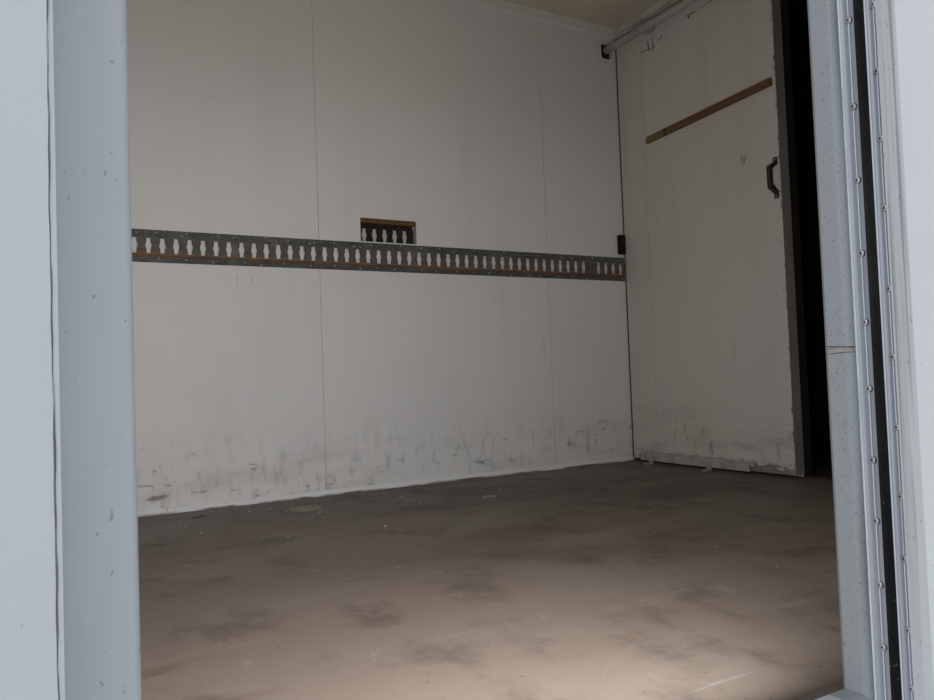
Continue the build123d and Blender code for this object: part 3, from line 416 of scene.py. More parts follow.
# painted shade: a near black laid where the front room and the sides of the partition's doorway
# lie in shade
PAINTED_SHADE_NEAR_BLACK = (0.018, 0.017, 0.016)
WHITE_SKIN = Finish(
    "white_skin_coat", (0.66, 0.70, 0.74), 0.40, coat=0.1,
    layers=(Layer((0.57, 0.61, 0.66), (0.8, 0.8, 0.8), 0.35, 0.8, 0.5),
            Layer((0.46, 0.46, 0.45), (9.0, 9.0, 0.7), 0.56, 0.8, 0.25, 4.0, 0.55),
            Layer((0.30, 0.29, 0.27), (90.0, 90.0, 90.0), 0.72, 0.76, 0.4, 2.0),
            # road dirt low down
            Layer((0.30, 0.27, 0.24), (3.0, 3.0, 8.0), 0.4, 0.8, 0.55, 4.0, 0.7,
                  spans=(Span(Axis.Z, 0.0, 0.16, 0.4),)),
            # the wall behind the window cut
            Layer((0.44, 0.42, 0.39), source=Source.ALL,
                  spans=(Span(Axis.X, 0.284, 0.562, 0.001), Span(Axis.Y, 1.2, 1.2395, 0.001),
                         Span(Axis.Z, 1.25, 1.5, 0.002))),
            # painted shade: the front wall's inner face, made near black for the unlit front room
            Layer(PAINTED_SHADE_NEAR_BLACK, rough=0.95, source=Source.ALL,
                  spans=(Span(Axis.X, 1.9, 3.1105, 0.0005), Span(Axis.Y, -1.209, 1.209, 0.0005),
                         Span(Axis.Z, 0.279, 2.6615, 0.0005)))),
    relief=(Relief((1.4, 1.4, 1.4), 0.0012, 2.0), Relief((220.0, 220.0, 220.0), 0.00004)))
AGED_TONES_AND_SHADE = (
    Layer((0.54, 0.535, 0.54), (0.7, 0.7, 0.7), 0.35, 0.7, 0.7),
    Layer((0.47, 0.45, 0.42), (5.0, 5.0, 0.6), 0.5, 0.85, 0.45, 4.0),
    Layer((0.44, 0.42, 0.395), (1.6, 1.6, 12.0), 0.60, 0.82, 0.35, 5.0, 0.6),
    Layer((0.20, 0.18, 0.16), (150.0, 150.0, 110.0), 0.72, 0.77, 0.6, 2.0),
    Layer((0.36, 0.34, 0.32), (6.0, 6.0, 45.0), 0.66, 0.76, 0.4, 5.0),
    # painted shade: darker and warmer towards the ceiling; then dirt, streaks and scuffs towards
    # the floor
    Layer((0.46, 0.415, 0.375), source=Source.ALL, amount=0.5,
          spans=(Span(Axis.Z, 2.3, 2.8, 0.9),)),
    walls_dirt((0.34, 0.325, 0.31), 0.3, 0.45),
    Layer((0.24, 0.24, 0.25), (30.0, 30.0, 11.0), 0.50, 0.74, 0.5, 5.0, 0.8,
          spans=(Span(Axis.Z, FLOOR_Z, 0.42, 0.22),)),
    Layer((0.13, 0.12, 0.115), (9.0, 9.0, 26.0), 0.60, 0.70, 0.7, 5.0, 0.8,
          spans=(Span(Axis.Z, FLOOR_Z, 0.44, 0.14),)))
AGED_RELIEF = (Relief((1.1, 1.1, 1.1), 0.0016, 2.0), Relief((90.0, 90.0, 90.0), 0.00006))
LINER = Finish(
    "aged_liner_coat", (0.60, 0.575, 0.545), 0.45,
    layers=(*AGED_TONES_AND_SHADE,
            # the ceiling
            Layer((0.51, 0.45, 0.345), source=Source.ALL,
                  spans=(Span(Axis.Z, 2.6606, 2.7, 0.0004),)),
            # the liner's edge round the side doorway
            Layer((0.20, 0.205, 0.21), source=Source.ALL,
                  spans=(Span(Axis.X, -0.92, 0.0765, 0.0005),
                         Span(Axis.Y, -1.209, -1.205, 0.0005))),
            # painted shade: dark beside the sliding door, then near black in the unlit front room
            Layer((0.10, 0.09, 0.08), source=Source.ALL,
                  spans=(Span(Axis.X, 1.829, 1.93, 0.006),)),
            Layer(PAINTED_SHADE_NEAR_BLACK, rough=0.95, source=Source.ALL, spans=(Span(Axis.X, 1.93, 3.2, 0.02),))),
    relief=AGED_RELIEF)
PARTITION = Finish(
    "partition_coat", (0.60, 0.575, 0.545), 0.45,
    layers=(*AGED_TONES_AND_SHADE,
            # painted shade: the sides of its doorway, made near black
            Layer(PAINTED_SHADE_NEAR_BLACK, rough=0.95, source=Source.ALL,
                  spans=(Span(Axis.Y, -0.6949, 0.2059, 0.0003),
                         Span(Axis.Z, 0.2, 2.5204, 0.0003))),
            # painted shade: dark at its corner at the street wall, then near black on its face in
            # the front room
            Layer((0.06, 0.054, 0.048), source=Source.ALL,
                  spans=(Span(Axis.Y, 1.15, 1.3, 0.01),)),
            Layer(PAINTED_SHADE_NEAR_BLACK, rough=0.95, source=Source.ALL,
                  spans=(Span(Axis.X, 1.9595, 2.0, 0.0004),))),
    relief=AGED_RELIEF)
ALUMINIUM = Finish(
    "mill_aluminium_skin", (0.52, 0.535, 0.55), 0.45, 0.6,
    layers=(Layer((0.40, 0.41, 0.42), (2.0, 2.0, 2.0), 0.4, 0.75, 0.6, 4.0, 0.55),
            Layer((0.64, 0.65, 0.66), (300.0, 3.0, 3.0), 0.55, 0.8, 0.35, 2.0),
            Layer((0.20, 0.18, 0.165), (14.0, 14.0, 14.0), 0.62, 0.8, 0.4, 5.0, 0.8)),
    relief=(Relief((4.0, 180.0, 180.0), 0.00005),))
RETAINER = Finish(
    "retainer_aluminium_skin", (0.40, 0.445, 0.52), 0.36, 0.45,
    layers=(Layer((0.36, 0.385, 0.43), (6.0, 6.0, 2.0), 0.45, 0.8, 0.5, 4.0, 0.5),
            Layer((0.24, 0.25, 0.28), (60.0, 60.0, 3.0), 0.56, 0.72, 0.5, 4.0)),
    relief=(Relief((150.0, 150.0, 6.0), 0.00004),))
FRAME_STEEL = Finish(
    "painted_frame", (0.56, 0.58, 0.60), 0.42,
    layers=(Layer((0.47, 0.47, 0.47), (1.5, 1.5, 1.5), 0.4, 0.8, 0.6),
            Layer((0.24, 0.14, 0.085), (16.0, 16.0, 10.0), 0.63, 0.72, 0.7, 5.0, 0.85),
            Layer((0.28, 0.26, 0.24), source=Source.EDGES, radius=0.003, amount=0.5)),
    relief=(Relief((30.0, 30.0, 30.0), 0.0003),), rounding=0.004)
ZINC = Finish(
    "zinc_plate", (0.45, 0.46, 0.47), 0.42, 0.8,
    layers=(Layer((0.3, 0.3, 0.31), (9.0, 9.0, 9.0), 0.4, 0.7, 0.7, 4.0, 0.6),
            Layer((0.27, 0.13, 0.06), (24.0, 24.0, 24.0), 0.62, 0.72, 0.75, 5.0, 0.9),
            Layer((0.66, 0.67, 0.68), source=Source.EDGES, radius=0.002, amount=0.5)),
    relief=(Relief((60.0, 60.0, 60.0), 0.00012),), rounding=0.0018)
OLD_RAIL = Finish(
    "oxidised_rail", (0.088, 0.092, 0.088), 0.5, 0.3,
    layers=(# the web between the flanges
            Layer((0.12, 0.105, 0.095), source=Source.ALL,
                  spans=(Span(Axis.Z, 1.286, 1.358, 0.002),)),
            Layer((0.19, 0.187, 0.178), (7.0, 7.0, 7.0), 0.48, 0.78, 0.7, 5.0, 0.45),
            Layer((0.06, 0.054, 0.05), (18.0, 18.0, 30.0), 0.5, 0.7, 0.7, 5.0, 0.8),
            # brown stains on the web and a line of rust at its foot
            Layer((0.15, 0.105, 0.078), (6.0, 6.0, 40.0), 0.46, 0.66, 0.6, 5.0, 0.8,
                  spans=(Span(Axis.Z, 1.286, 1.33, 0.02),)),
            Layer((0.27, 0.13, 0.06), (9.0, 9.0, 90.0), 0.43, 0.58, 0.9, 5.0, 0.9,
                  spans=(Span(Axis.Z, 1.283, 1.294, 0.006),)),
            # bare spots on the upper flange
            Layer((0.52, 0.515, 0.50), (90.0, 90.0, 170.0), 0.61, 0.68, 0.9, 2.0,
                  spans=(Span(Axis.Z, 1.362, 1.380, 0.006),)),
            Layer((0.40, 0.40, 0.385), (90.0, 90.0, 120.0), 0.70, 0.75, 0.6, 2.0),
            # the older rail in the window cut, with rust at its top
            Layer((0.022, 0.019, 0.016), source=Source.ALL, amount=0.95,
                  spans=(Span(Axis.Z, 1.386, 1.5, 0.001),)),
            Layer((0.16, 0.075, 0.04), (30.0, 30.0, 30.0), 0.56, 0.66, 0.7, 5.0, 0.9,
                  spans=(Span(Axis.Z, 1.44, 1.5, 0.02),))),
    relief=(Relief((120.0, 120.0, 120.0), 0.0002),))
GUIDE = Finish(
    "floor_guide_steel", (0.42, 0.40, 0.37), 0.5, 0.3,
    layers=(Layer((0.22, 0.20, 0.18), (9.0, 9.0, 9.0), 0.45, 0.7, 0.7, 4.0, 0.7),
            Layer((0.15, 0.08, 0.045), (22.0, 22.0, 22.0), 0.60, 0.70, 0.7, 5.0, 0.9),
            Layer((0.45, 0.43, 0.4), source=Source.EDGES, radius=0.0015, amount=0.5)),
    relief=(Relief((90.0, 90.0, 90.0), 0.0002),), rounding=0.0012)
SOCKET = Finish(
    "socket_cup", (0.46, 0.445, 0.425), 0.55,
    layers=(Layer((0.26, 0.245, 0.225), (30.0, 30.0, 30.0), 0.5, 0.7, 0.7, 4.0, 0.7),
            # painted shade: the inside of the cup, made near black
            Layer((0.014, 0.014, 0.015), source=Source.ALL,
                  spans=(Span(Axis.X, 1.7035, 1.7775, 0.0004),
                         Span(Axis.Z, 2.4705, 2.5555, 0.0004)))),
    relief=(Relief((90.0, 90.0, 90.0), 0.0002),))
PALE_RIM = Finish(
    "worn_white_rim", (0.66, 0.66, 0.65), 0.5,
    layers=(Layer((0.20, 0.19, 0.18), (40.0, 40.0, 40.0), 0.56, 0.70, 0.8, 4.0, 0.7),),
    relief=(Relief((120.0, 120.0, 120.0), 0.0002),))
TUBE = Finish(
    "dull_tube", (0.40, 0.39, 0.36), 0.5, 0.35,
    layers=(Layer((0.26, 0.24, 0.21), (3.0, 9.0, 9.0), 0.45, 0.75, 0.7, 4.0, 0.65),
            Layer((0.55, 0.54, 0.51), (4.0, 26.0, 4.0), 0.6, 0.7, 0.5)),
    relief=(Relief((60.0, 8.0, 60.0), 0.0001),))
SUBFRAME = Finish(
    "subframe_black", (0.035, 0.035, 0.037), 0.55,
    layers=(Layer((0.13, 0.115, 0.1), (3.0, 3.0, 3.0), 0.42, 0.75, 0.6, 5.0, 0.85),
            Layer((0.17, 0.075, 0.035), (14.0, 14.0, 14.0), 0.6, 0.7, 0.7, 5.0, 0.9),
            Layer((0.16, 0.14, 0.12), source=Source.EDGES, radius=0.003, amount=0.6)),
    relief=(Relief((50.0, 50.0, 50.0), 0.0003),), rounding=0.003)
UNDERSIDE = Finish(
    "underside_sheet", (0.30, 0.30, 0.29), 0.6, 0.2,
    layers=(Layer((0.17, 0.155, 0.135), (2.0, 2.0, 2.0), 0.4, 0.7, 0.8, 5.0, 0.85),),
    relief=(Relief((20.0, 20.0, 20.0), 0.0003),))
DECK = Finish(
    "worn_deck", (0.142, 0.110, 0.090), 0.62,
    layers=(Layer((0.165, 0.135, 0.112), (1.3, 3.2, 1.0), 0.4, 0.72, 0.8, 5.0, 0.5),
            Layer((0.070, 0.053, 0.044), (0.6, 1.0, 1.0), 0.5, 0.7, 0.7, 4.0),
            Layer((0.060, 0.046, 0.038), (7.0, 5.0, 5.0), 0.5, 0.74, 0.6, 5.0, 0.75),
            Layer((0.23, 0.20, 0.172), (16.0, 12.0, 12.0), 0.62, 0.72, 0.5, 5.0),
            Layer((0.25, 0.225, 0.20), (3.0, 70.0, 4.0), 0.64, 0.74, 0.5, 4.0),
            Layer((0.34, 0.32, 0.29), (170.0, 170.0, 170.0), 0.71, 0.75, 0.7, 2.0),
            Layer((0.02, 0.017, 0.014), (90.0, 90.0, 90.0), 0.70, 0.74, 0.7, 2.0),
            Layer((0.085, 0.045, 0.026), (3.0, 9.0, 3.0), 0.58, 0.72, 0.55, 5.0),
            # painted shade: near black in the unlit front room
            Layer((0.03, 0.024, 0.02), source=Source.ALL, amount=0.85,
                  spans=(Span(Axis.X, 1.95, 3.2, 0.12),))),
    relief=(Relief((260.0, 260.0, 260.0), 0.0004), Relief((9.0, 9.0, 9.0), 0.0014)))
JAMB = Finish(
    "jamb_plastic_skin", (0.62, 0.66, 0.705), 0.42,
    layers=(Layer((0.54, 0.58, 0.625), (1.6, 1.6, 0.8), 0.4, 0.75, 0.7),
            Layer((0.24, 0.25, 0.27), (150.0, 150.0, 90.0), 0.70, 0.75, 0.6, 2.0),
            Layer((0.36, 0.37, 0.385), (5.0, 5.0, 24.0), 0.64, 0.8, 0.3, 4.0),
            # painted shade: the front jamb made greyer, as it stands in shade; then small dark
            # specks on it
            Layer((0.275, 0.31, 0.34), source=Source.ALL, amount=0.85,
                  spans=(Span(Axis.X, 0.03, 0.1, 0.01),)),
            Layer((0.11, 0.115, 0.12), (330.0, 330.0, 280.0), 0.635, 0.69, 0.75, 2.0,
                  spans=(Span(Axis.X, 0.03, 0.1, 0.01),))),
    relief=(Relief((3.0, 3.0, 3.0), 0.0006, 2.0), Relief((160.0, 160.0, 160.0), 0.00005)))
EDGING = Finish(
    "door_edging_plastic", (0.50, 0.535, 0.57), 0.42,
    layers=(Layer((0.36, 0.385, 0.41), (9.0, 9.0, 0.8), 0.4, 0.75, 0.7),
            Layer((0.22, 0.24, 0.27), (110.0, 110.0, 0.9), 0.52, 0.62, 0.8, 4.0),
            Layer((0.12, 0.12, 0.125), (200.0, 200.0, 60.0), 0.68, 0.74, 0.6, 2.0)),
    relief=(Relief((60.0, 60.0, 1.5), 0.0004, 2.0), Relief((160.0, 160.0, 160.0), 0.00005)))
CREAM = Finish(
    "cream_strip", (0.52, 0.50, 0.465), 0.48,
    layers=(Layer((0.44, 0.41, 0.36), (2.0, 2.0, 6.0), 0.42, 0.75, 0.7, 4.0),
            Layer((0.17, 0.135, 0.10), (22.0, 22.0, 50.0), 0.66, 0.73, 0.6, 5.0, 0.8),
            # painted shadow: a patchy dark line at the foot of the strip by the floor; then the
            # moulding over the sliding door
            Layer((0.13, 0.11, 0.09), (5.0, 5.0, 5.0), 0.35, 0.6, 0.8, 4.0,
                  spans=(Span(Axis.Z, 0.2, 0.284, 0.004),)),
            Layer((0.40, 0.36, 0.31), (6.0, 6.0, 30.0), 0.4, 0.6, 0.7, 4.0,
                  spans=(Span(Axis.X, 1.82, 1.9, 0.01), Span(Axis.Z, 2.6, 2.7, 0.01)))),
    relief=(Relief((14.0, 14.0, 60.0), 0.0004),))
SKIRTING = Finish(
    "pale_skirting", (0.62, 0.615, 0.62), 0.45,
    layers=(Layer((0.50, 0.49, 0.47), (3.0, 3.0, 9.0), 0.45, 0.75, 0.7, 4.0),
            Layer((0.20, 0.16, 0.12), (26.0, 26.0, 60.0), 0.64, 0.71, 0.7, 5.0, 0.8),
            # painted shadow: a patchy dark line at the foot of the strip by the floor
            Layer((0.06, 0.05, 0.04), (5.0, 5.0, 5.0), 0.3, 0.55, 0.9, 4.0,
                  spans=(Span(Axis.Z, 0.2, 0.285, 0.003),))),
    relief=(Relief((14.0, 14.0, 60.0), 0.0004),))
DOOR_SKIN = Finish(
    "sliding_door_coat", (0.50, 0.465, 0.415), 0.48,
    layers=(Layer((0.47, 0.45, 0.435), (0.9, 1.2, 0.7), 0.38, 0.7, 0.8),
            Layer((0.42, 0.39, 0.345), (2.0, 9.0, 0.9), 0.5, 0.8, 0.6, 5.0),
            Layer((0.30, 0.275, 0.235), (9.0, 9.0, 2.5), 0.66, 0.8, 0.45, 5.0, 0.7),
            Layer((0.12, 0.10, 0.08), (80.0, 80.0, 80.0), 0.73, 0.77, 0.7, 2.0),
            # dirt, scuffs and rot towards the floor, then the worn curb edge
            walls_dirt((0.27, 0.25, 0.225), 0.3, 0.6),
            Layer((0.16, 0.15, 0.14), (30.0, 30.0, 9.0), 0.56, 0.70, 0.6, 5.0, 0.8,
                  spans=(Span(Axis.Z, FLOOR_Z, 0.42, 0.16),)),
            Layer((0.055, 0.042, 0.034), (26.0, 26.0, 40.0), 0.50, 0.58, 0.85, 5.0, 0.9,
                  spans=(Span(Axis.Z, FLOOR_Z, 0.31, 0.05),)),
            Layer((0.10, 0.075, 0.055), (60.0, 60.0, 26.0), 0.54, 0.62, 0.85, 4.0, 0.9,
                  spans=(Span(Axis.Y, 0.185, 0.1955, 0.004),))),
    relief=(Relief((1.6, 1.6, 1.6), 0.0018, 2.0), Relief((70.0, 70.0, 70.0), 0.0001)))
DOOR_EDGE = Finish(
    "sliding_door_edge", (0.235, 0.205, 0.182), 0.6,
    layers=(Layer((0.15, 0.125, 0.105), (8.0, 8.0, 2.0), 0.4, 0.7, 0.7, 5.0),
            Layer((0.40, 0.37, 0.33), (20.0, 20.0, 6.0), 0.6, 0.75, 0.5, 4.0)),
    relief=(Relief((40.0, 40.0, 12.0), 0.0006),))
WOOD = Finish(
    "weathered_batten", (0.130, 0.066, 0.027), 0.62,
    layers=(Layer((0.080, 0.038, 0.017), (60.0, 3.0, 130.0), 0.42, 0.62, 0.8, 5.0),
            Layer((0.21, 0.115, 0.06), (60.0, 2.0, 200.0), 0.56, 0.7, 0.6, 4.0),
            # the paler length at the street end, with the dark joint before it
            Layer((0.17, 0.115, 0.045), source=Source.ALL, amount=0.8,
                  spans=(Span(Axis.Y, 0.85, 1.0, 0.02),)),
            Layer((0.02, 0.012, 0.008), source=Source.ALL,
                  spans=(Span(Axis.Y, 0.843, 0.853, 0.004),)),
            Layer((0.025, 0.015, 0.01), (20.0, 20.0, 20.0), 0.66, 0.72, 0.8, 4.0)),
    relief=(Relief((60.0, 4.0, 260.0), 0.0006),))
RUBBER = Finish(
    "black_rubber_skin", (0.012, 0.012, 0.013), 0.72,
    layers=(Layer((0.11, 0.105, 0.1), (110.0, 110.0, 110.0), 0.69, 0.74, 0.7, 2.0),
            Layer((0.035, 0.033, 0.03), (6.0, 6.0, 3.0), 0.45, 0.8, 0.7, 4.0)),
    relief=(Relief((70.0, 70.0, 20.0), 0.0004),), shine=0.12)
BLACK_PAINT = Finish(
    "worn_black_paint", (0.018, 0.017, 0.016), 0.45,
    layers=(Layer((0.12, 0.11, 0.1), source=Source.EDGES, radius=0.0015, amount=0.6),
            Layer((0.045, 0.04, 0.036), (30.0, 30.0, 30.0), 0.5, 0.7, 0.7, 4.0, 0.7)),
    relief=(Relief((90.0, 90.0, 90.0), 0.0002),), rounding=0.0015)
RED_LENS = Finish(
    "red_lens_body", (0.42, 0.012, 0.012), 0.18, coat=0.6,
    layers=(Layer((0.3, 0.006, 0.006), (4.0, 240.0, 240.0), 0.48, 0.56, 0.8, 0.0),),
    relief=(Relief((4.0, 160.0, 160.0), 0.0004, 0.0),), rounding=0.004)
AMBER_LENS = Finish(
    "amber_lens_body", (0.62, 0.2, 0.015), 0.18, coat=0.6,
    layers=(Layer((0.45, 0.12, 0.008), (4.0, 240.0, 240.0), 0.48, 0.56, 0.8, 0.0),),
    relief=(Relief((4.0, 160.0, 160.0), 0.0004, 0.0),), rounding=0.003)
RIVET_STEEL = Finish(
    "rivet_head", (0.62, 0.64, 0.67), 0.35, 0.7,
    layers=(Layer((0.38, 0.38, 0.38), (40.0, 40.0, 40.0), 0.45, 0.7, 0.7),),
    relief=(Relief((200.0, 200.0, 200.0), 0.00005),))
# painted highlight: pale lines that stand in for light caught on the rims and ridge of the
# retainer frames
PAINTED_HIGHLIGHT_LINE = Finish(
    "painted_highlight_line", (0.70, 0.74, 0.79), 0.4, 0.2,
    layers=(Layer((0.50, 0.54, 0.60), (40.0, 40.0, 7.0), 0.5, 0.7, 0.8, 4.0),),
    relief=(Relief((150.0, 150.0, 10.0), 0.00004),))
DARK_STEEL = Finish(
    "dark_pin_end", (0.03, 0.03, 0.032), 0.6, 0.4,
    layers=(Layer((0.09, 0.07, 0.055), (60.0, 60.0, 60.0), 0.5, 0.7, 0.8),),
    relief=(Relief((300.0, 300.0, 300.0), 0.00005),))
SCREW_HEAD = Finish(
    "screw_head", (0.55, 0.55, 0.53), 0.4, 0.7,
    layers=(Layer((0.2, 0.13, 0.08), (60.0, 60.0, 60.0), 0.5, 0.68, 0.8, 4.0, 0.8),),
    relief=(Relief((300.0, 300.0, 300.0), 0.00005),))
DARK_SCREW = Finish(
    "rusty_screw_head", (0.075, 0.052, 0.04), 0.75, 0.3,
    layers=(Layer((0.16, 0.08, 0.045), (70.0, 70.0, 70.0), 0.5, 0.68, 0.8, 4.0),),
    relief=(Relief((260.0, 260.0, 260.0), 0.0001),))
SEALANT = Finish(
    "aged_sealant", (0.13, 0.135, 0.15), 0.7,
    layers=(Layer((0.36, 0.39, 0.42), (40.0, 40.0, 12.0), 0.50, 0.64, 0.9, 5.0),
            Layer((0.07, 0.06, 0.06), (60.0, 60.0, 16.0), 0.6, 0.72, 0.8, 4.0)),
    relief=(Relief((80.0, 80.0, 60.0), 0.0006),))
SEAM = Finish(
    "seam_filler", (0.30, 0.28, 0.26), 0.7,
    layers=(Layer((0.09, 0.08, 0.07), (50.0, 50.0, 2.2), 0.5, 0.62, 0.9, 4.0),),
    relief=(Relief((60.0, 60.0, 60.0), 0.0003),))
DISC = Finish(
    "floor_patch", (0.26, 0.225, 0.185), 0.6,
    layers=(Layer((0.17, 0.145, 0.12), (20.0, 20.0, 20.0), 0.42, 0.7, 0.8, 5.0),
            Layer((0.34, 0.30, 0.26), (60.0, 60.0, 60.0), 0.6, 0.72, 0.6, 4.0)),
    relief=(Relief((120.0, 120.0, 120.0), 0.0004),))
SCRATCH = Finish(
    "dark_scratch", (0.045, 0.034, 0.026), 0.8,
    layers=(Layer((0.14, 0.115, 0.09), (60.0, 60.0, 60.0), 0.5, 0.66, 0.8, 4.0),),
    relief=(Relief((200.0, 200.0, 200.0), 0.0002),))
TORN_PAPER = Finish(
    "torn_paper_edge", (0.70, 0.66, 0.60), 0.7,
    layers=(Layer((0.42, 0.39, 0.345), (30.0, 30.0, 30.0), 0.42, 0.62, 0.9, 4.0),),
    relief=(Relief((160.0, 160.0, 160.0), 0.0003),))
RUST_FLAKE = Finish(
    "rust_flake", (0.13, 0.052, 0.026), 0.9,
    layers=(Layer((0.05, 0.024, 0.015), (60.0, 60.0, 60.0), 0.45, 0.62, 0.9, 4.0),),
    relief=(Relief((160.0, 160.0, 160.0), 0.0008),))
LINE_FILLER = Finish(
    "crack_filler", (0.38, 0.375, 0.345), 0.7,
    layers=(Layer((0.22, 0.20, 0.17), (50.0, 50.0, 120.0), 0.45, 0.65, 0.8, 4.0),),
    relief=(Relief((120.0, 120.0, 120.0), 0.0004),))
CRUMB = Finish(
    "floor_crumbs", (0.36, 0.335, 0.30), 0.8,
    layers=(Layer((0.16, 0.075, 0.04), (7.0, 7.0, 7.0), 0.5, 0.56, 1.0, 2.0),),
    relief=(Relief((200.0, 200.0, 200.0), 0.0003),))
STAGE_FLOOR = Finish("pale_floor", (0.80, 0.80, 0.79), 0.6)


class Surface:
    """Quads gathered from grids of points, ready to become one mesh."""

    def __init__(self) -> None:
        """Start empty."""
        self.points: list[np.ndarray] = []
        self.quads: list[np.ndarray] = []
        self.count = 0

    def grids(self, points: np.ndarray, wrap_u: bool = False, wrap_v: bool = False) -> None:
        """Add one or many like grids.

        Args:
            points: an array of shape (..., m, n, 3), in metres.
            wrap_u: whether the last row joins the first.
            wrap_v: whether the last column joins the first.
        """
        rows, columns = points.shape[-3:-1]
        stack = points.reshape(-1, rows, columns, 3)
        index = np.arange(rows * columns).reshape(rows, columns)
        here = index if wrap_u else index[:-1]
        after = np.roll(index, -1, 0) if wrap_u else index[1:]
        if wrap_v:
            corners = (here, after, np.roll(after, -1, 1), np.roll(here, -1, 1))
        else:
            corners = (here[:, :-1], after[:, :-1], after[:, 1:], here[:, 1:])
        quads = np.stack(corners, -1)
        starts = self.count + rows * columns * np.arange(len(stack))
        self.quads.append((quads.reshape(1, -1, 4) + starts[:, None, None]).reshape(-1, 4))
        self.points.append(stack.reshape(-1, 3))
        self.count += rows * columns * len(stack)

    def block(self, low: Sequence[float], high: Sequence[float]) -> None:
        """Add a closed block between two corners.

        Args:
            low: the corner with the least x, y and z, in metres.
            high: the corner with the greatest.
        """
        x0, y0, z0 = low
        x1, y1, z1 = high
        ring = np.array([[x0, y0], [x1, y0], [x1, y1], [x0, y1]])
        middle = ring.mean(0, keepdims=True).repeat(4, 0)
        levels = [(middle, z0), (ring, z0), (ring, z1), (middle, z1)]
        grid = np.stack([np.column_stack([plan, np.full(4, z)]) for plan, z in levels], 1)
        self.grids(grid, wrap_u=True)

    def piece(self, name: str, finish: Finish, body: Body,
              angle: float = 35.0) -> bpy.types.Object:
        """Turn the quads into a piece that rides on a body.

        Args:
            name: the piece's name.
            finish: its finish.
            body: the body that carries it.
            angle: the largest turn in degrees between faces shaded as one.

        Returns:
            The new object.
        """
        mesh = bpy.data.meshes.new(name)
        mesh.from_pydata(np.concatenate(self.points).tolist(), [],
                         np.concatenate(self.quads).tolist())
        shape = bmesh.new()
        shape.from_mesh(mesh)
        bmesh.ops.remove_doubles(shape, verts=shape.verts, dist=MERGE_WITHIN)
        bmesh.ops.recalc_face_normals(shape, faces=shape.faces)
        shape.to_mesh(mesh)
        shape.free()
        mesh.polygons.foreach_set("use_smooth", [True] * len(mesh.polygons))
        mesh.set_sharp_from_angle(angle=math.radians(angle))
        mesh.materials.append(finish.material())
        obj = bpy.data.objects.new(name, mesh)
        bpy.context.scene.collection.objects.link(obj)
        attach(obj, body.value)
        LOG.info("%s: %d faces", name, len(mesh.polygons))
        return obj


def frame_of(normal: Sequence[float]) -> tuple[np.ndarray, np.ndarray, np.ndarray]:
    """Three unit vectors at right angles: two cross products and the normal itself.

    Args:
        normal: any vector along the wanted third one.

    Returns:
        Two vectors across the normal, then the normal, each one metre long.
    """
    n = np.asarray(normal, float)
    n = n / np.linalg.norm(n)
    helper = np.array([0.0, 0.0, 1.0]) if abs(n[2]) < 0.9 else np.array([1.0, 0.0, 0.0])
    e1 = np.cross(helper, n)
    e1 = e1 / np.linalg.norm(e1)
    return e1, np.cross(n, e1), n


def studs(surface: Surface, places: np.ndarray, normal: Sequence[float],
          profile: Sequence[tuple[float, float]], sides: int = 10) -> None:
    """Add a turned shape at each place: radius and height round the normal, at every angle.

    Args:
        surface: what the shapes are added to.
        places: their centres on the surface below, in metres.
        normal: the axis they stand along.
        profile: pairs of radius and height in millimetres, from the foot's middle to the top's.
        sides: how many sides they have.
    """
    e1, e2, n = frame_of(normal)
    turn = 2 * math.pi * np.arange(sides) / sides
    ring = np.cos(turn)[:, None] * e1 + np.sin(turn)[:, None] * e2
    shape = np.asarray(profile, float) * MM
    unit = ring[:, None, :] * shape[None, :, :1] + n * shape[None, :, 1:]
    surface.grids(np.asarray(places, float)[:, None, None, :] + unit[None], wrap_u=True)


def spaced(start: Sequence[float], end: Sequence[float], pitch: float,
           margin: float = 0.0) -> np.ndarray:
    """Places in a straight row, evenly spaced at about a pitch.

    Args:
        start: one end of the row, in metres.
        end: its other end.
        pitch: the wanted distance, in metres, which is fitted to whole steps.
        margin: how far inside both ends the places stop.

    Returns:
        The places, one in each row of the array.
    """
    a, b = np.asarray(start, float), np.asarray(end, float)
    length = float(np.linalg.norm(b - a))
    run = (b - a) / length
    inner = length - 2 * margin
    count = max(2, int(round(inner / pitch)) + 1)
    return a + run * (margin + inner * np.linspace(0.0, 1.0, count))[:, None]


SWING_PITCHES = (0.9, 0.31, 0.11, 0.043)
SWING_SHARE = 0.4


def bead(surface: Surface, start: Sequence[float], end: Sequence[float],
         profile: Sequence[tuple[float, float]], normal: Sequence[float],
         wander: float = 0.0, swell: float = 0.0, step: float = 0.02, seed: int = 0) -> None:
    """Carry a closed profile along a line, with slow swings in its place and size.

    Args:
        surface: what the strip is added to.
        start: the first point, in metres.
        end: the last point, in metres.
        profile: pairs of side and height in millimetres.
        normal: the way that height is measured.
        wander: the largest sideways swing, in millimetres.
        swell: the largest share by which the profile grows or shrinks.
        step: the distance between sections, in metres.
        seed: the seed of the swings.
    """
    a, b = np.asarray(start, float), np.asarray(end, float)
    length = float(np.linalg.norm(b - a))
    run = (b - a) / length
    n = np.asarray(normal, float)
    side = np.cross(n, run)
    count = max(2, int(length / step)) if wander or swell else 2
    t = np.linspace(0.0, length, count)
    random = np.random.default_rng(seed)
    waves = np.zeros((2, count))
    for pitch in SWING_PITCHES:
        phase = random.uniform(0, 2 * math.pi, 2)
        waves += SWING_SHARE * np.sin(2 * math.pi * t / pitch + phase[:, None])
    shape = np.asarray(profile, float) * MM
    size = 1.0 + swell * waves[0]
    across = shape[None, :, 0] * size[:, None] + wander * MM * waves[1][:, None]
    up = shape[None, :, 1] * size[:, None]
    line = a + run * t[:, None]
    points = line[:, None, :] + side * across[..., None] + n * up[..., None]
    middle = points.mean(1, keepdims=True)
    surface.grids(points, wrap_v=True)
    for end_index in (0, -1):
        cap = np.stack([points[end_index], middle[end_index].repeat(len(shape), 0)], 0)
        surface.grids(cap, wrap_v=True)


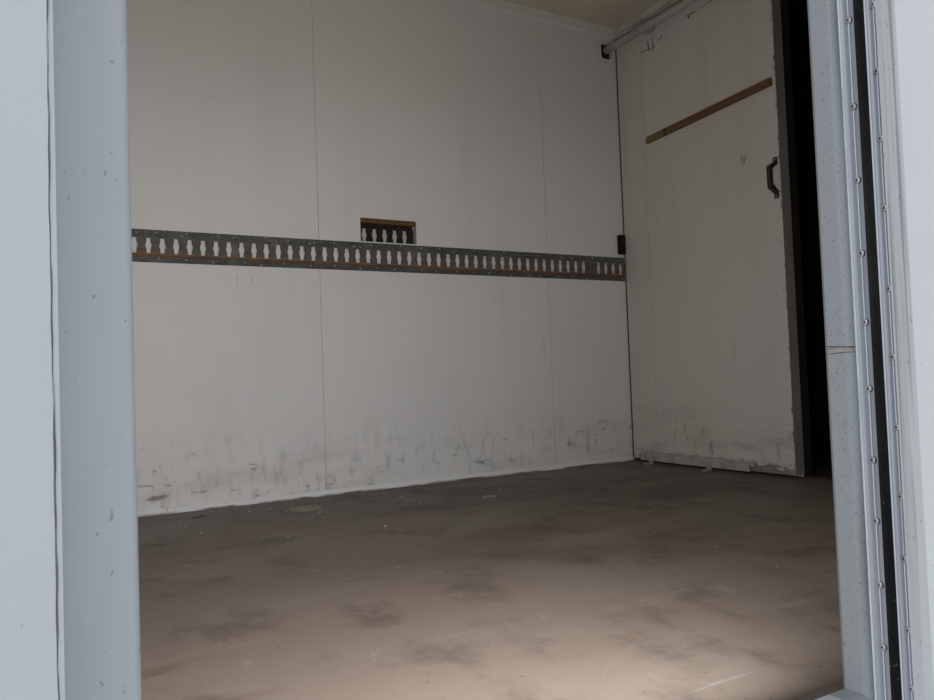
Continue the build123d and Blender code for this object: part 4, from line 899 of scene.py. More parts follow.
def stroke(surface: Surface, points: Sequence[Sequence[float]], width: float, rise: float,
           normal: Sequence[float]) -> None:
    """Lay a flat lens-shaped mark along a bent line: width falls to nought at both ends.

    Args:
        surface: what the mark is added to.
        points: the line's corners on the surface below, in metres.
        width: its widest half width, in millimetres.
        rise: how far it stands off the surface, in millimetres.
        normal: the way off the surface.
    """
    corners = np.asarray(points, float)
    lengths = np.concatenate([[0.0], np.cumsum(np.linalg.norm(np.diff(corners, axis=0), axis=1))])
    t = np.linspace(0.0, lengths[-1], 4 * len(corners))
    line = np.stack([np.interp(t, lengths, corners[:, axis]) for axis in range(3)], 1)
    n = np.asarray(normal, float)
    run = np.gradient(line, axis=0)
    side = np.cross(n, run)
    side = side / np.linalg.norm(side, axis=1)[:, None]
    share = t / lengths[-1]
    half = width * MM * np.sqrt(np.clip(4 * share * (1 - share), 0.02, 1.0))
    shape = np.array([[-1.0, 0.0], [0.0, 1.0], [1.0, 0.0], [0.0, -0.2]])
    points_3d = (line[:, None, :] + side[:, None, :] * (shape[None, :, :1] * half[:, None, None])
                 + n * (shape[None, :, 1:] * rise * MM))
    surface.grids(points_3d, wrap_v=True)
    for index in (0, -1):
        middle = points_3d[index].mean(0)[None].repeat(4, 0)
        surface.grids(np.stack([points_3d[index], middle], 0), wrap_v=True)


def rim(surface: Surface, corners: Sequence[Sequence[float]], middle: Sequence[float],
        width: float, rise: float, normal: Sequence[float]) -> None:
    """Add a flat closed frame round an outline: each corner moves off the middle by a width.

    Args:
        surface: what the frame is added to.
        corners: the inner outline, in metres.
        middle: the point that the frame grows away from.
        width: the frame's width along each axis, in millimetres.
        rise: its height, in millimetres.
        normal: the way off the surface.
    """
    inner = np.asarray(corners, float)
    n = np.asarray(normal, float)
    outer = inner + np.sign(np.round(inner - np.asarray(middle, float), 6)) * width * MM
    outer = np.where(np.abs(n) > 0.5, inner, outer)
    top = n * rise * MM
    soft = 0.75 * inner + 0.25 * outer
    hard = 0.25 * inner + 0.75 * outer
    surface.grids(np.stack([inner, soft + top, hard + top, outer], 1), wrap_u=True, wrap_v=True)


def cut_corners(middle: Sequence[float], half: Sequence[float], cut: float,
                axes: tuple[int, int]) -> list[list[float]]:
    """List the eight corners of a rectangle with its corners cut off.

    Args:
        middle: its middle, in metres.
        half: half its size along each of the two axes.
        cut: how much of each side a cut corner takes.
        axes: the numbers of the two axes.

    Returns:
        The corners in turn round the outline.
    """
    a, b = half
    plan = ((a, b - cut), (a - cut, b), (cut - a, b), (-a, b - cut), (-a, cut - b), (cut - a, -b),
            (a - cut, -b), (a, cut - b))
    corners = []
    for u, v in plan:
        corner = list(middle)
        corner[axes[0]] += u
        corner[axes[1]] += v
        corners.append(corner)
    return corners


# Turned shapes: pairs of radius and height in millimetres, from the foot's middle to the top's
DOME = ((0.0, 0.0), (4.2, 0.0), (4.0, 0.7), (3.0, 1.5), (1.5, 2.0), (0.0, 2.1))
POP_RIVET = ((0.0, -1.4), (4.7, -1.4), (5.0, 0.5), (4.6, 1.1), (3.5, 1.9), (2.2, 2.3), (1.6, 2.2),
             (1.4, 1.4), (0.0, 1.4))
PIN_END = ((0.0, 1.3), (1.45, 1.3), (1.4, 1.9), (0.0, 1.9))
DARK_RING = ((0.0, -1.7), (5.6, -1.7), (5.6, -1.3), (0.0, -1.3))
SCREW = ((0.0, 0.0), (3.9, 0.0), (3.7, 0.8), (2.4, 1.6), (0.0, 1.8))
NAIL = ((0.0, 0.0), (2.6, 0.0), (2.4, 0.5), (0.0, 0.8))
WASHER = ((0.0, 0.0), (12.0, 0.0), (12.0, 1.6), (10.5, 2.0), (0.0, 2.0))
HEX_HEAD = ((0.0, 2.0), (9.0, 2.0), (9.0, 7.0), (7.8, 8.0), (0.0, 8.0))
CARRIAGE = ((0.0, 0.0), (10.0, 0.0), (9.6, 1.6), (7.2, 3.6), (3.6, 4.6), (0.0, 4.9))


@dataclass
class Assembly:
    """A group of pieces that is built and dressed together."""

    def dress(self, finish: Finish, *nodes: str) -> None:
        """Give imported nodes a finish.

        Args:
            finish: the finish.
            nodes: the nodes' names.
        """
        for node in nodes:
            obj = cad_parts[node]
            obj.data.materials.clear()
            obj.data.materials.append(finish.material())
            LOG.info("%s wears %s", node, finish.name)


@dataclass
class OuterShell(Assembly):
    """Walls, roof, rails and posts, with their rivets."""

    wall_y: float = 1.2985
    rivet_pitch: float = 0.1
    skirt_z: float = 2.612
    low_rivet_z: float = 0.2
    rear_x: float = -3.07
    front_x: float = 3.04
    nose_x: float = 3.203
    nose_half: float = 1.19
    nose_margin: float = 0.06
    nose_post_y: float = 1.16
    post_x: float = 3.066
    post_low: float = 0.26
    post_high: float = 2.57
    foot_places: tuple[float, ...] = (-2.35, 0.0, 2.35)
    foot_half: float = 0.0805
    sill_face: float = 0.4305
    weld_low: float = 0.004
    weld_high: float = 0.092
    weld_radius: float = 3.4

    def build(self) -> None:
        """Dress the shell and add its rivets."""
        self.dress(WHITE_SKIN, "street_wall", "curb_wall", "front_wall", "roof_panel")
        self.dress(ALUMINIUM, "top_rails", "bottom_rails", "corner_posts", "drip_rail")
        self.dress(UNDERSIDE, "floor_panel")
        self.dress(SUBFRAME, "longsills", "crossmembers", "mounting_feet")
        self.dress(DECK, "floor_deck")
        self.rivets()
        self.foot_welds()

    def rivets(self) -> None:
        """Rows of domed rivets along the rails and the corner posts."""
        surface = Surface()
        for side in (1, -1):
            y = side * self.wall_y
            for z in (self.skirt_z, self.low_rivet_z):
                places = spaced((self.rear_x, y, z), (self.front_x, y, z), self.rivet_pitch)
                studs(surface, places, (0, side, 0), DOME, sides=8)
            post = spaced((self.post_x, y, self.post_low), (self.post_x, y, self.post_high),
                          self.rivet_pitch)
            studs(surface, post, (0, side, 0), DOME, sides=8)
            y = side * self.nose_post_y
            nose = spaced((self.nose_x, y, self.post_low), (self.nose_x, y, self.post_high),
                          self.rivet_pitch)
            studs(surface, nose, (1, 0, 0), DOME, sides=8)
        for z in (self.skirt_z, self.low_rivet_z):
            row = spaced((self.nose_x, -self.nose_half, z), (self.nose_x, self.nose_half, z),
                         self.rivet_pitch, self.nose_margin)
            studs(surface, row, (1, 0, 0), DOME, sides=8)
        surface.piece("shell_rivets", RIVET_STEEL, Body.BOX)

    def foot_welds(self) -> None:
        """Weld beads down both ends of every mounting foot, where it meets the longsill."""
        surface = Surface()
        radius = self.weld_radius
        ring = [(radius * math.cos(t), radius * math.sin(t))
                for t in np.radians(np.arange(8) * 45.0)]
        for side in (1, -1):
            y = side * self.sill_face
            for number, x in enumerate(self.foot_places):
                for end in (x - self.foot_half, x + self.foot_half):
                    bead(surface, (end, y, self.weld_low), (end, y, self.weld_high), ring,
                         (0, side, 0), wander=0.8, swell=0.3, step=0.004, seed=60 + number)
        surface.piece("foot_welds", SUBFRAME, Body.BOX)


@dataclass
class Interior(Assembly):
    """Liner, rails, strips and what lies on the floor."""

    wall_y: float = 1.2055
    floor_z: float = FLOOR_Z
    rail_z: float = 1.322
    flange: float = 0.051
    rail_rise: float = 0.003
    rail_rows: tuple[tuple[int, float, float], ...] = (
        # side, rear end, front end
        (1, -3.03, 1.80),
        (-1, -3.03, -1.00),
        (-1, 0.16, 1.80),
    )
    rail_screw_pitch: float = 0.1016
    rail_screw_margin: float = 0.02
    sheet_seams: tuple[float, ...] = (-2.349, -1.13, 0.089, 1.308)
    seam_y: float = 1.2085
    seam_top: float = 2.66
    patches: tuple[tuple[float, float, float], ...] = (
        # place along, place across, radius in millimetres
        (-0.088, 0.9395, 61.5),
        (0.601, 0.6995, 30.0),
    )
    patch_rise: float = 1.6
    crumb_count: int = 170
    crumb_ends: tuple[float, float] = (-0.95, 1.75)
    crumb_wall: float = 1.18
    crumb_scatter: float = 0.28
    flakes: tuple[tuple[float, float, float], ...] = (
        # place along, place across, reach in millimetres
        (-0.48, 1.024, 19.0),
        (-0.452, 1.046, 12.0),
        (-0.511, 0.999, 7.0),
    )
    moulding_x: float = 1.828
    moulding_half: float = 1.1
    moulding_z: float = 2.634
    moulding_pitch: float = 0.1445
    cove_ends: tuple[float, float] = (-3.0, 1.75)
    cove_y: float = 1.1935
    cove_z: float = 2.636
    cove_pitch: float = 0.305
    deck_seams: tuple[float, ...] = (-1.842, 0.596)
    deck_screw_offset: float = 0.022
    deck_half: float = 1.15
    deck_pitch: float = 0.23
    pocket_low: tuple[float, float, float] = (0.2845, 1.209, 1.478)
    pocket_high: tuple[float, float, float] = (0.5615, 1.236, 1.4985)

    def build(self) -> None:
        """Dress the inside and add its small pieces."""
        self.dress(LINER, "wall_liners")
        self.dress(PARTITION, "partition_wall")
        self.dress(CREAM, "cove_strips")
        self.dress(SKIRTING, "skirting_strips")
        self.dress(OLD_RAIL, "lashing_rails")
        self.dress(GUIDE, "floor_guide")
        self.rail_screws()
        self.seams()
        self.floor_patches()
        self.crumbs()
        self.pocket_wood()
        self.wall_marks()
        self.rust_flakes()
        self.moulding_nails()
        self.deck_screws()

    def rail_screws(self) -> None:
        """Screws along both flanges of the lashing rails, not quite evenly spaced."""
        random = np.random.default_rng(4)
        surface = Surface()
        along, upward = 0.028, 0.007
        for side, rear, front in self.rail_rows:
            y = side * (self.wall_y - self.rail_rise)
            for up in (-1, 1):
                z = self.rail_z + up * self.flange
                places = spaced((rear, y, z), (front, y, z), self.rail_screw_pitch,
                                self.rail_screw_margin)
                places[:, 0] += random.uniform(-along, along, len(places))
                places[:, 2] += random.uniform(-upward, upward, len(places))
                studs(surface, places, (0, -side, 0), SCREW, sides=8)
        surface.piece("rail_screws", SCREW_HEAD, Body.BOX)

    def seams(self) -> None:
        """Filler strips in the joints of the liner sheets, just below their faces."""
        surface = Surface()
        strip = ((-1.0, 0.0), (1.0, 0.0), (1.0, 2.4), (-1.0, 2.4))
        for side in (1, -1):
            y = side * self.seam_y
            for x in self.sheet_seams:
                bead(surface, (x, y, self.floor_z), (x, y, self.seam_top), strip, (0, -side, 0))
        surface.piece("liner_seams", SEAM, Body.BOX)

    def floor_patches(self) -> None:
        """Two thin round patches on the deck, each with small dark screws."""
        discs = Surface()
        heads = Surface()
        rise = self.patch_rise
        screw_share = 0.7
        for x, y, radius in self.patches:
            profile = ((0.0, 0.0), (radius, 0.0), (radius - 1.0, 1.2), (radius - 3.0, rise),
                       (0.0, rise))
            studs(discs, np.array([[x, y, self.floor_z]]), (0, 0, 1), profile, sides=40)
            turn = np.radians([20.0, 140.0, 265.0])
            spots = np.stack([x + screw_share * radius * MM * np.cos(turn),
                              y + screw_share * radius * MM * np.sin(turn),
                              np.full(3, self.floor_z + rise * MM)], 1)
            studs(heads, spots, (0, 0, 1), SCREW, sides=8)
        discs.piece("floor_patches", DISC, Body.BOX)
        heads.piece("floor_patch_screws", DARK_SCREW, Body.BOX)

    def crumbs(self) -> None:
        """Chips and flakes on the deck, thickest along the street wall and by the doorway."""
        random = np.random.default_rng(11)
        count = self.crumb_count
        x = random.uniform(*self.crumb_ends, count)
        y = self.crumb_wall - np.abs(random.normal(0.0, self.crumb_scatter, count))
        size = random.uniform(1.0, 5.0, (count, 1, 1))
        corners = random.uniform(0.6, 1.3, (count, 6, 1))
        turn = np.radians(60.0 * np.arange(6)) + random.uniform(0, 6.3, (count, 1))
        ring = np.stack([np.cos(turn), 0.7 * np.sin(turn), np.zeros_like(turn)], -1)
        ring = ring * corners * size * MM
        levels = np.array([0.0, 0.15, 0.6, 0.7]) * MM
        spread = np.array([0.0, 1.0, 0.8, 0.0])
        grid = ring[:, :, None, :] * spread[None, None, :, None]
        grid[..., 2] = levels * size
        place = np.stack([x, y, np.full(count, self.floor_z)], 1)
        surface = Surface()
        surface.grids(grid + place[:, None, None, :], wrap_u=True)
        surface.piece("deck_crumbs", CRUMB, Body.BOX)

    def wall_marks(self) -> None:
        """Thin dark scratches under the rail and low on the street wall."""
        surface = Surface()
        table = (
            # half width, places along and above
            (0.7, ((-0.2648, 1.2198), (-0.2656, 1.2), (-0.266, 1.1747))),
            (0.7, ((-0.2036, 1.2261), (-0.2046, 1.2), (-0.2049, 1.176))),
            (1.2, ((0.0885, 0.345), (0.0878, 0.326), (0.0874, 0.302))),
            (0.9, ((1.262, 0.96), (1.2655, 0.9), (1.2662, 0.85))),
            (0.8, ((0.93, 0.472), (0.944, 0.47), (0.965, 0.4745))),
            (0.8, ((0.42, 0.40), (0.437, 0.4035), (0.46, 0.402))),
        )
        for width, line in table:
            places = [(x, self.wall_y, z) for x, z in line]
            stroke(surface, places, width, rise=0.25, normal=(0, -1, 0))
        surface.piece("wall_scratches", SCRATCH, Body.BOX)

    def rust_flakes(self) -> None:
        """Two flakes of rust on the deck beside the broken end of the old skirting."""
        random = np.random.default_rng(17)
        surface = Surface()
        for x, y, size in self.flakes:
            turn = np.radians(40.0 * np.arange(9))
            reach = size * MM * random.uniform(0.55, 1.0, 9)
            ring = np.stack([reach * np.cos(turn), 0.6 * reach * np.sin(turn), np.zeros(9)], -1)
            spread = np.array([0.0, 1.0, 0.8, 0.35, 0.0])
            grid = ring[:, None, :] * spread[None, :, None]
            grid[..., 2] += np.array([0.0, 0.2, 2.2, 3.2, 3.0]) * MM
            surface.grids(grid + np.array([x, y, self.floor_z]), wrap_u=True)
        surface.piece("rust_flakes", RUST_FLAKE, Body.BOX)

    def moulding_nails(self) -> None:
        """Nail heads along the moulding over the sliding door and down the cove strips."""
        surface = Surface()
        row = spaced((self.moulding_x, -self.moulding_half, self.moulding_z),
                     (self.moulding_x, self.moulding_half, self.moulding_z), self.moulding_pitch)
        row[:, 2] += np.random.default_rng(3).uniform(-0.008, 0.006, len(row))
        studs(surface, row, (-1, 0, 0), NAIL, sides=8)
        rear, front = self.cove_ends
        for side in (1, -1):
            y = side * self.cove_y
            row = spaced((rear, y, self.cove_z), (front, y, self.cove_z), self.cove_pitch)
            studs(surface, row, (0, -side, 0), NAIL, sides=8)
        surface.piece("moulding_nails", DARK_SCREW, Body.BOX)

    def deck_screws(self) -> None:
        """Flat screws along the seams of the deck sheets."""
        surface = Surface()
        half = self.deck_half
        for seam in self.deck_seams:
            for x in (seam - self.deck_screw_offset, seam + self.deck_screw_offset):
                row = spaced((x, -half, self.floor_z), (x, half, self.floor_z), self.deck_pitch)
                studs(surface, row, (0, 0, 1), NAIL, sides=8)
        surface.piece("deck_screws", SCREW_HEAD, Body.BOX)

    def pocket_wood(self) -> None:
        """The wooden edge along the top of the window cut in the liner."""
        surface = Surface()
        surface.block(self.pocket_low, self.pocket_high)
        surface.piece("pocket_batten", WOOD, Body.BOX)


@dataclass
class SlidingDoor(Assembly):
    """The parked door, its pull, its guide and the tube above it."""

    face_x: float = 1.828
    curb_y: float = 0.1915
    columns: tuple[tuple[float, float, float], ...] = (
        # place across, lowest screw, pitch
        (1.179, 0.53, 0.231),
        (1.003, 0.54, 0.1855),
        (0.207, 0.51, 0.197),
    )
    screws_end: float = 2.56
    edge_low: float = 0.42
    edge_pitch: float = 0.1484
    skin_x: float = 1.838
    core_x: float = 1.8635
    core_shift: float = 0.004
    pull_feet: tuple[tuple[float, float, float], ...] = (
        (1.822, 0.2115, 1.5045),
        (1.822, 0.2115, 1.6655),
    )
    batten_ends: tuple[tuple[float, float, float], ...] = (
        (1.812, 0.235, 2.0065),
        (1.812, 0.955, 1.9735),
    )
    mark_growth: float = 1.4
    torn_outline: tuple[tuple[float, float], ...] = (
        # place across, height
        (1.008, 2.561), (1.005, 2.523), (1.017, 2.47), (1.004, 2.436), (0.93, 2.423),
        (0.851, 2.439), (0.836, 2.481), (0.869, 2.511), (0.923, 2.534), (0.979, 2.553),
    )
    torn_half: float = 2.8
    socket_x: float = 1.7405
    socket_y: float = 1.1793
    socket_z: float = 2.513
    socket_half: tuple[float, float] = (0.0385, 0.044)
    socket_cut: float = 0.011

    def build(self) -> None:
        """Dress the door and add its screws."""
        self.dress(DOOR_SKIN, "sliding_door_skin")
        self.dress(DOOR_EDGE, "sliding_door")
        self.dress(WOOD, "sliding_door_batten")
        self.dress(BLACK_PAINT, "sliding_door_pull")
        self.dress(TUBE, "overhead_tube", "sliding_door_hangers")
        self.dress(SOCKET, "tube_sockets")
        self.screws()
        self.pull_screws()
        self.torn_patch()
        self.socket_rims()

    def screws(self) -> None:
        """Rusty screws down both edges of the skin and on the door's curb edge."""
        surface = Surface()
        random = np.random.default_rng(8)
        across, upward = 0.004, 0.006
        for y, low, pitch in self.columns:
            z = np.arange(low, self.screws_end, pitch)
            places = np.stack([np.full_like(z, self.face_x), np.full_like(z, y), z], 1)
            places[:, 1] += random.uniform(-across, across, len(z))
            places[:, 2] += random.uniform(-upward, upward, len(z))
            studs(surface, places, (-1, 0, 0), NAIL, sides=8)
        z = np.arange(self.edge_low, self.screws_end, self.edge_pitch)
        for x, heights in ((self.skin_x, z), (self.core_x, z[::3] + self.core_shift)):
            places = np.stack([np.full_like(heights, x), np.full_like(heights, self.curb_y),
                               heights], 1)
            studs(surface, places, (0, -1, 0), NAIL, sides=8)
        surface.piece("sliding_door_screws", DARK_SCREW, Body.SLIDING)

    def pull_screws(self) -> None:
        """A bright screw in each foot of the pull and one in each end of the batten."""
        surface = Surface()
        studs(surface, np.array(self.pull_feet), (-1, 0, 0), SCREW, sides=10)
        studs(surface, np.array(self.batten_ends), (-1, 0, 0), NAIL, sides=8)
        surface.piece("pull_screws", SCREW_HEAD, Body.SLIDING)

    def torn_patch(self) -> None:
        """The torn place near the top of the door: dark strokes inside a pale ragged rim."""
        marks = Surface()
        table = (
            # half width, places across and up
            (2.6, ((0.954, 2.498), (0.95, 2.467), (0.945, 2.434))),
            (1.0, ((0.92, 2.526), (0.918, 2.50), (0.917, 2.482))),
            (2.6, ((0.9175, 2.487), (0.9165, 2.46), (0.916, 2.427))),
            (1.5, ((1.009, 2.4525), (0.957, 2.45), (0.893, 2.442))),
            (1.2, ((0.894, 2.467), (0.866, 2.473), (0.843, 2.482))),
            (1.4, ((0.853, 2.492), (0.851, 2.47), (0.849, 2.448))),
            (1.6, ((1.006, 2.462), (1.001, 2.452), (0.996, 2.442))),
            (2.2, ((0.681, 2.5065), (0.649, 2.507), (0.617, 2.508))),
            (2.6, ((0.673, 2.51), (0.667, 2.50), (0.661, 2.487))),
            (1.1, ((0.625, 2.508), (0.565, 2.5095), (0.48, 2.511))),
            (1.6, ((0.394, 1.735), (0.389, 1.71), (0.383, 1.687))),
            (1.6, ((0.364, 1.734), (0.373, 1.71), (0.3815, 1.686))),
            (1.1, ((0.381, 1.733), (0.3805, 1.72), (0.379, 1.711))),
        )
        for width, line in table:
            places = [(self.face_x, y, z) for y, z in line]
            stroke(marks, places, self.mark_growth * width, rise=0.3, normal=(-1, 0, 0))
        marks.piece("sliding_door_marks", SCRATCH, Body.SLIDING)
        paper = Surface()
        loop = [(self.face_x, y, z) for y, z in (*self.torn_outline, self.torn_outline[0])]
        for start, end in zip(loop[:-1], loop[1:]):
            stroke(paper, [start, end], self.torn_half, rise=0.25, normal=(-1, 0, 0))
        paper.piece("sliding_door_torn_rim", TORN_PAPER, Body.SLIDING)

    def socket_rims(self) -> None:
        """A pale worn rim round the mouth of each tube socket."""
        surface = Surface()
        for side in (1, -1):
            middle = (self.socket_x, side * self.socket_y, self.socket_z)
            corners = cut_corners(middle, self.socket_half, self.socket_cut, (0, 2))
            rim(surface, corners, middle, width=4.5, rise=0.8, normal=(0, -side, 0))
        surface.piece("socket_rims", PALE_RIM, Body.BOX)


@dataclass
class SideDoorway(Assembly):
    """The frame of the side doorway and what is fixed beside it."""

    front_x: float = 0.067
    inner_y: float = -1.2087
    stop_y: float = -1.2445
    round_radius: float = 0.01
    outer_y: float = -1.2955
    frame_ends: tuple[float, float] = (-0.973, 0.129)
    frame_heights: tuple[float, float] = (0.218, 2.342)
    sealant_half: float = 0.6
    sealant_rise: float = 0.4
    crack_z: float = 0.789
    crack_reach: float = 0.034
    crack_half: float = 0.0057
    crack_narrowing: float = 0.0034
    butt_x: float = 0.2
    butt_rise: float = 0.008
    butt_bolt_half: float = 0.035

    def build(self) -> None:
        """Dress the frame and add its sealant."""
        self.dress(JAMB, "side_door_frame")
        self.dress(ZINC, "hinge_butts", "lock_keepers")
        self.sealant()
        self.crack()
        self.butt_bolts()

    def sealant(self) -> None:
        """Uneven beads of old sealant where the frame meets the outer skin."""
        surface = Surface()
        turn = np.radians(45.0 * np.arange(8))
        profile = [(self.sealant_half * math.cos(t), self.sealant_rise * math.sin(t))
                   for t in turn]
        rear, front = self.frame_ends
        low, high = self.frame_heights
        for number, x in enumerate(self.frame_ends):
            bead(surface, (x, self.outer_y, low), (x, self.outer_y, high), profile, (0, -1, 0),
                 wander=0.5, swell=0.4, step=0.012, seed=21 + number)
        for number, z in enumerate(self.frame_heights):
            bead(surface, (rear, self.outer_y, z), (front, self.outer_y, z), profile,
                 (0, -1, 0), wander=0.5, swell=0.4, step=0.012, seed=31 + number)
        surface.piece("frame_sealant", SEALANT, Body.BOX)

    def crack(self) -> None:
        """The crack round the front jamb: pale filler between two thin dark lines."""
        filler = Surface()
        lines = Surface()
        flat = ((-4.0, -0.3), (4.0, -0.3), (3.4, 0.35), (-3.4, 0.35))
        thin = ((-0.6, -0.3), (0.6, -0.3), (0.4, 0.5), (-0.4, 0.5))
        z = self.crack_z
        turn = np.radians(np.linspace(0.0, 90.0, 5))
        x = self.front_x + self.round_radius * (1.0 - np.cos(turn))
        y = self.stop_y + self.round_radius * (1.0 - np.sin(turn))
        plan = np.stack([np.concatenate([[self.front_x], x,
                                         [self.front_x + self.crack_reach]]),
                         np.concatenate([[self.inner_y], y, [self.stop_y]])], 1)
        steps = np.diff(plan, axis=0)
        run = np.concatenate([[0.0], np.cumsum(np.linalg.norm(steps, axis=1))])
        spread = self.crack_half - self.crack_narrowing * run / run[-1]
        for number, step in enumerate(steps):
            normal = np.array([step[1], -step[0], 0.0]) / np.linalg.norm(step)
            start, end = plan[number], plan[number + 1]
            bead(filler, (*start, z), (*end, z), flat, normal,
                 wander=0.2, swell=0.1, step=0.004, seed=41)
            for side in (-1, 1):
                low, high = z + side * spread[number], z + side * spread[number + 1]
                bead(lines, (*start, low), (*end, high), thin, normal,
                     wander=0.4, swell=0.3, step=0.003, seed=43 + side)
        filler.piece("jamb_crack_filler", LINE_FILLER, Body.BOX)
        lines.piece("jamb_crack_lines", SCRATCH, Body.BOX)

    def butt_bolts(self) -> None:
        """Bolts through the plates of the hinge butts beside the doorway."""
        surface = Surface()
        half = self.butt_bolt_half
        places = [(self.butt_x, self.outer_y - self.butt_rise, height + dz)
                  for height in HINGE_HEIGHTS for dz in (-half, half)]
        studs(surface, np.array(places), (0, -1, 0), WASHER, sides=16)
        studs(surface, np.array(places), (0, -1, 0), HEX_HEAD, sides=6)
        surface.piece("side_butt_bolts", ZINC, Body.BOX, angle=25.0)


@dataclass
class SideDoor(Assembly):
    """The hinged side door, with the rivets of its two retainer frames."""

    pin_x: float = 0.082
    pin_y: float = -1.3205
    middle_x: float = -0.422
    middle_z: float = 1.28
    half_x: float = 0.489
    half_z: float = 1.0
    lip_y: float = -1.26125
    rim_y: float = -1.2605
    skin_y: float = -1.2955
    rivet_depth: float = 0.0003
    end_rivets: int = 11
    end_margin: float = 0.05
    line_rise: float = 0.12
    strap_rise: float = 0.013
    strap_bolts: tuple[float, ...] = (0.06, 0.18, 0.31, 0.42)
    saddle_x: float = -0.873
    saddle_half: float = 0.026
    saddle_rise: float = 0.004
    saddle_heights: tuple[float, ...] = (0.45, 1.28, 2.11)
    rows: tuple[tuple[float, tuple[float, ...]], ...] = (
        # margin of the ridge, heights of the rivets
        (0.0369, (0.289, 0.376, 0.461, 0.549, 0.633, 0.732, 0.825, 0.922, 1.025, 1.13, 1.254,
                  1.352, 1.449, 1.547, 1.644, 1.742, 1.839, 1.937, 2.034, 2.132, 2.229)),
        (0.0002, (0.332, 0.409, 0.504, 0.587, 0.68, 0.775, 0.868, 0.978, 1.074, 1.167,
                  1.26, 1.354, 1.447, 1.541, 1.634, 1.728, 1.821, 1.915, 2.008, 2.102, 2.195)),
    )
    edges: tuple[tuple[float, float, float], ...] = (
        # margin, half width in millimetres, depth below the rims
        (0.0505, 1.3, 0.0), (0.0369, 0.75, 0.00075), (0.02665, 0.6, 0.0),
        (0.0118, 1.2, 0.0), (0.0002, 0.6, 0.00075), (-0.0084, 0.6, 0.0),
    )

    def opened(self, points: np.ndarray) -> np.ndarray:
        """Turn points of the shut door by a quarter about the hinge pin.

        Args:
            points: an array whose last axis is x, y and z, in metres.

        Returns:
            The points on the door as it stands open: dx becomes minus dy, and dy becomes dx.
        """
        x = self.pin_x - (points[..., 1] - self.pin_y)
        y = self.pin_y + (points[..., 0] - self.pin_x)
        return np.stack([x, y, points[..., 2]], -1)

    def build(self) -> None:
        """Dress the door and add its rivets."""
        self.dress(WHITE_SKIN, "side_door")
        self.dress(EDGING, "side_door_edging")
        self.dress(RETAINER, "side_door_retainers")
        self.dress(RUBBER, "side_door_seal")
        self.dress(ZINC, "side_door_hinges", "side_door_lock")
        self.rivets()
        self.paint_highlights()
        self.outside_bolts()

    def rivets(self) -> None:
        """Pop rivets down the middle of both retainer frames."""
        heads = Surface()
        pins = Surface()
        floor_y = self.lip_y - self.rivet_depth
        for margin, heights in self.rows:
            half_x, half_z = self.half_x + margin, self.half_z + margin
            z = np.array(heights)
            reach = half_x - self.end_margin
            x = np.linspace(-reach, reach, self.end_rivets) + self.middle_x
            sides = [np.stack([np.full_like(z, self.middle_x + s * half_x),
                               np.full_like(z, floor_y), z], 1) for s in (-1, 1)]
            ends = [np.stack([x, np.full_like(x, floor_y),
                              np.full_like(x, self.middle_z + s * half_z)], 1) for s in (-1, 1)]
            places = self.opened(np.concatenate(sides + ends))
            studs(heads, places, (-1, 0, 0), POP_RIVET, sides=12)
            studs(pins, places, (-1, 0, 0), PIN_END, sides=8)
            studs(pins, places, (-1, 0, 0), DARK_RING, sides=12)
        heads.piece("retainer_rivets", RIVET_STEEL, Body.SIDE)
        pins.piece("retainer_rivet_pins", DARK_STEEL, Body.SIDE)

    def paint_highlights(self) -> None:
        """Painted highlights: bright lines along the rims and the ridge of both retainer frames.
        """
        surface = Surface()
        for margin, half, depth in self.edges:
            top = 0.6 * half
            profile = ((-half, 0.0), (half, 0.0), (top, self.line_rise), (-top, self.line_rise))
            across, up = self.half_x + margin, self.half_z + margin
            y = self.rim_y - depth
            corners = np.array([(self.middle_x + u * across, y, self.middle_z + v * up)
                                for u, v in ((-1, -1), (1, -1), (1, 1), (-1, 1), (-1, -1))])
            corners = self.opened(corners)
            for start, end in zip(corners[:-1], corners[1:]):
                bead(surface, start, end, profile, (-1, 0, 0))
        surface.piece("retainer_painted_highlights", PAINTED_HIGHLIGHT_LINE, Body.SIDE)

    def outside_bolts(self) -> None:
        """Round-headed bolts through the straps and the feet of the lock saddles."""
        surface = Surface()
        strap = [(self.pin_x - along, self.skin_y - self.strap_rise, height)
                 for height in HINGE_HEIGHTS for along in self.strap_bolts]
        saddles = [(self.saddle_x + side * self.saddle_half, self.skin_y - self.saddle_rise, z)
                   for z in self.saddle_heights for side in (-1, 1)]
        places = self.opened(np.array(strap + saddles))
        studs(surface, places, (1, 0, 0), CARRIAGE, sides=14)
        surface.piece("side_door_bolts", ZINC, Body.SIDE)


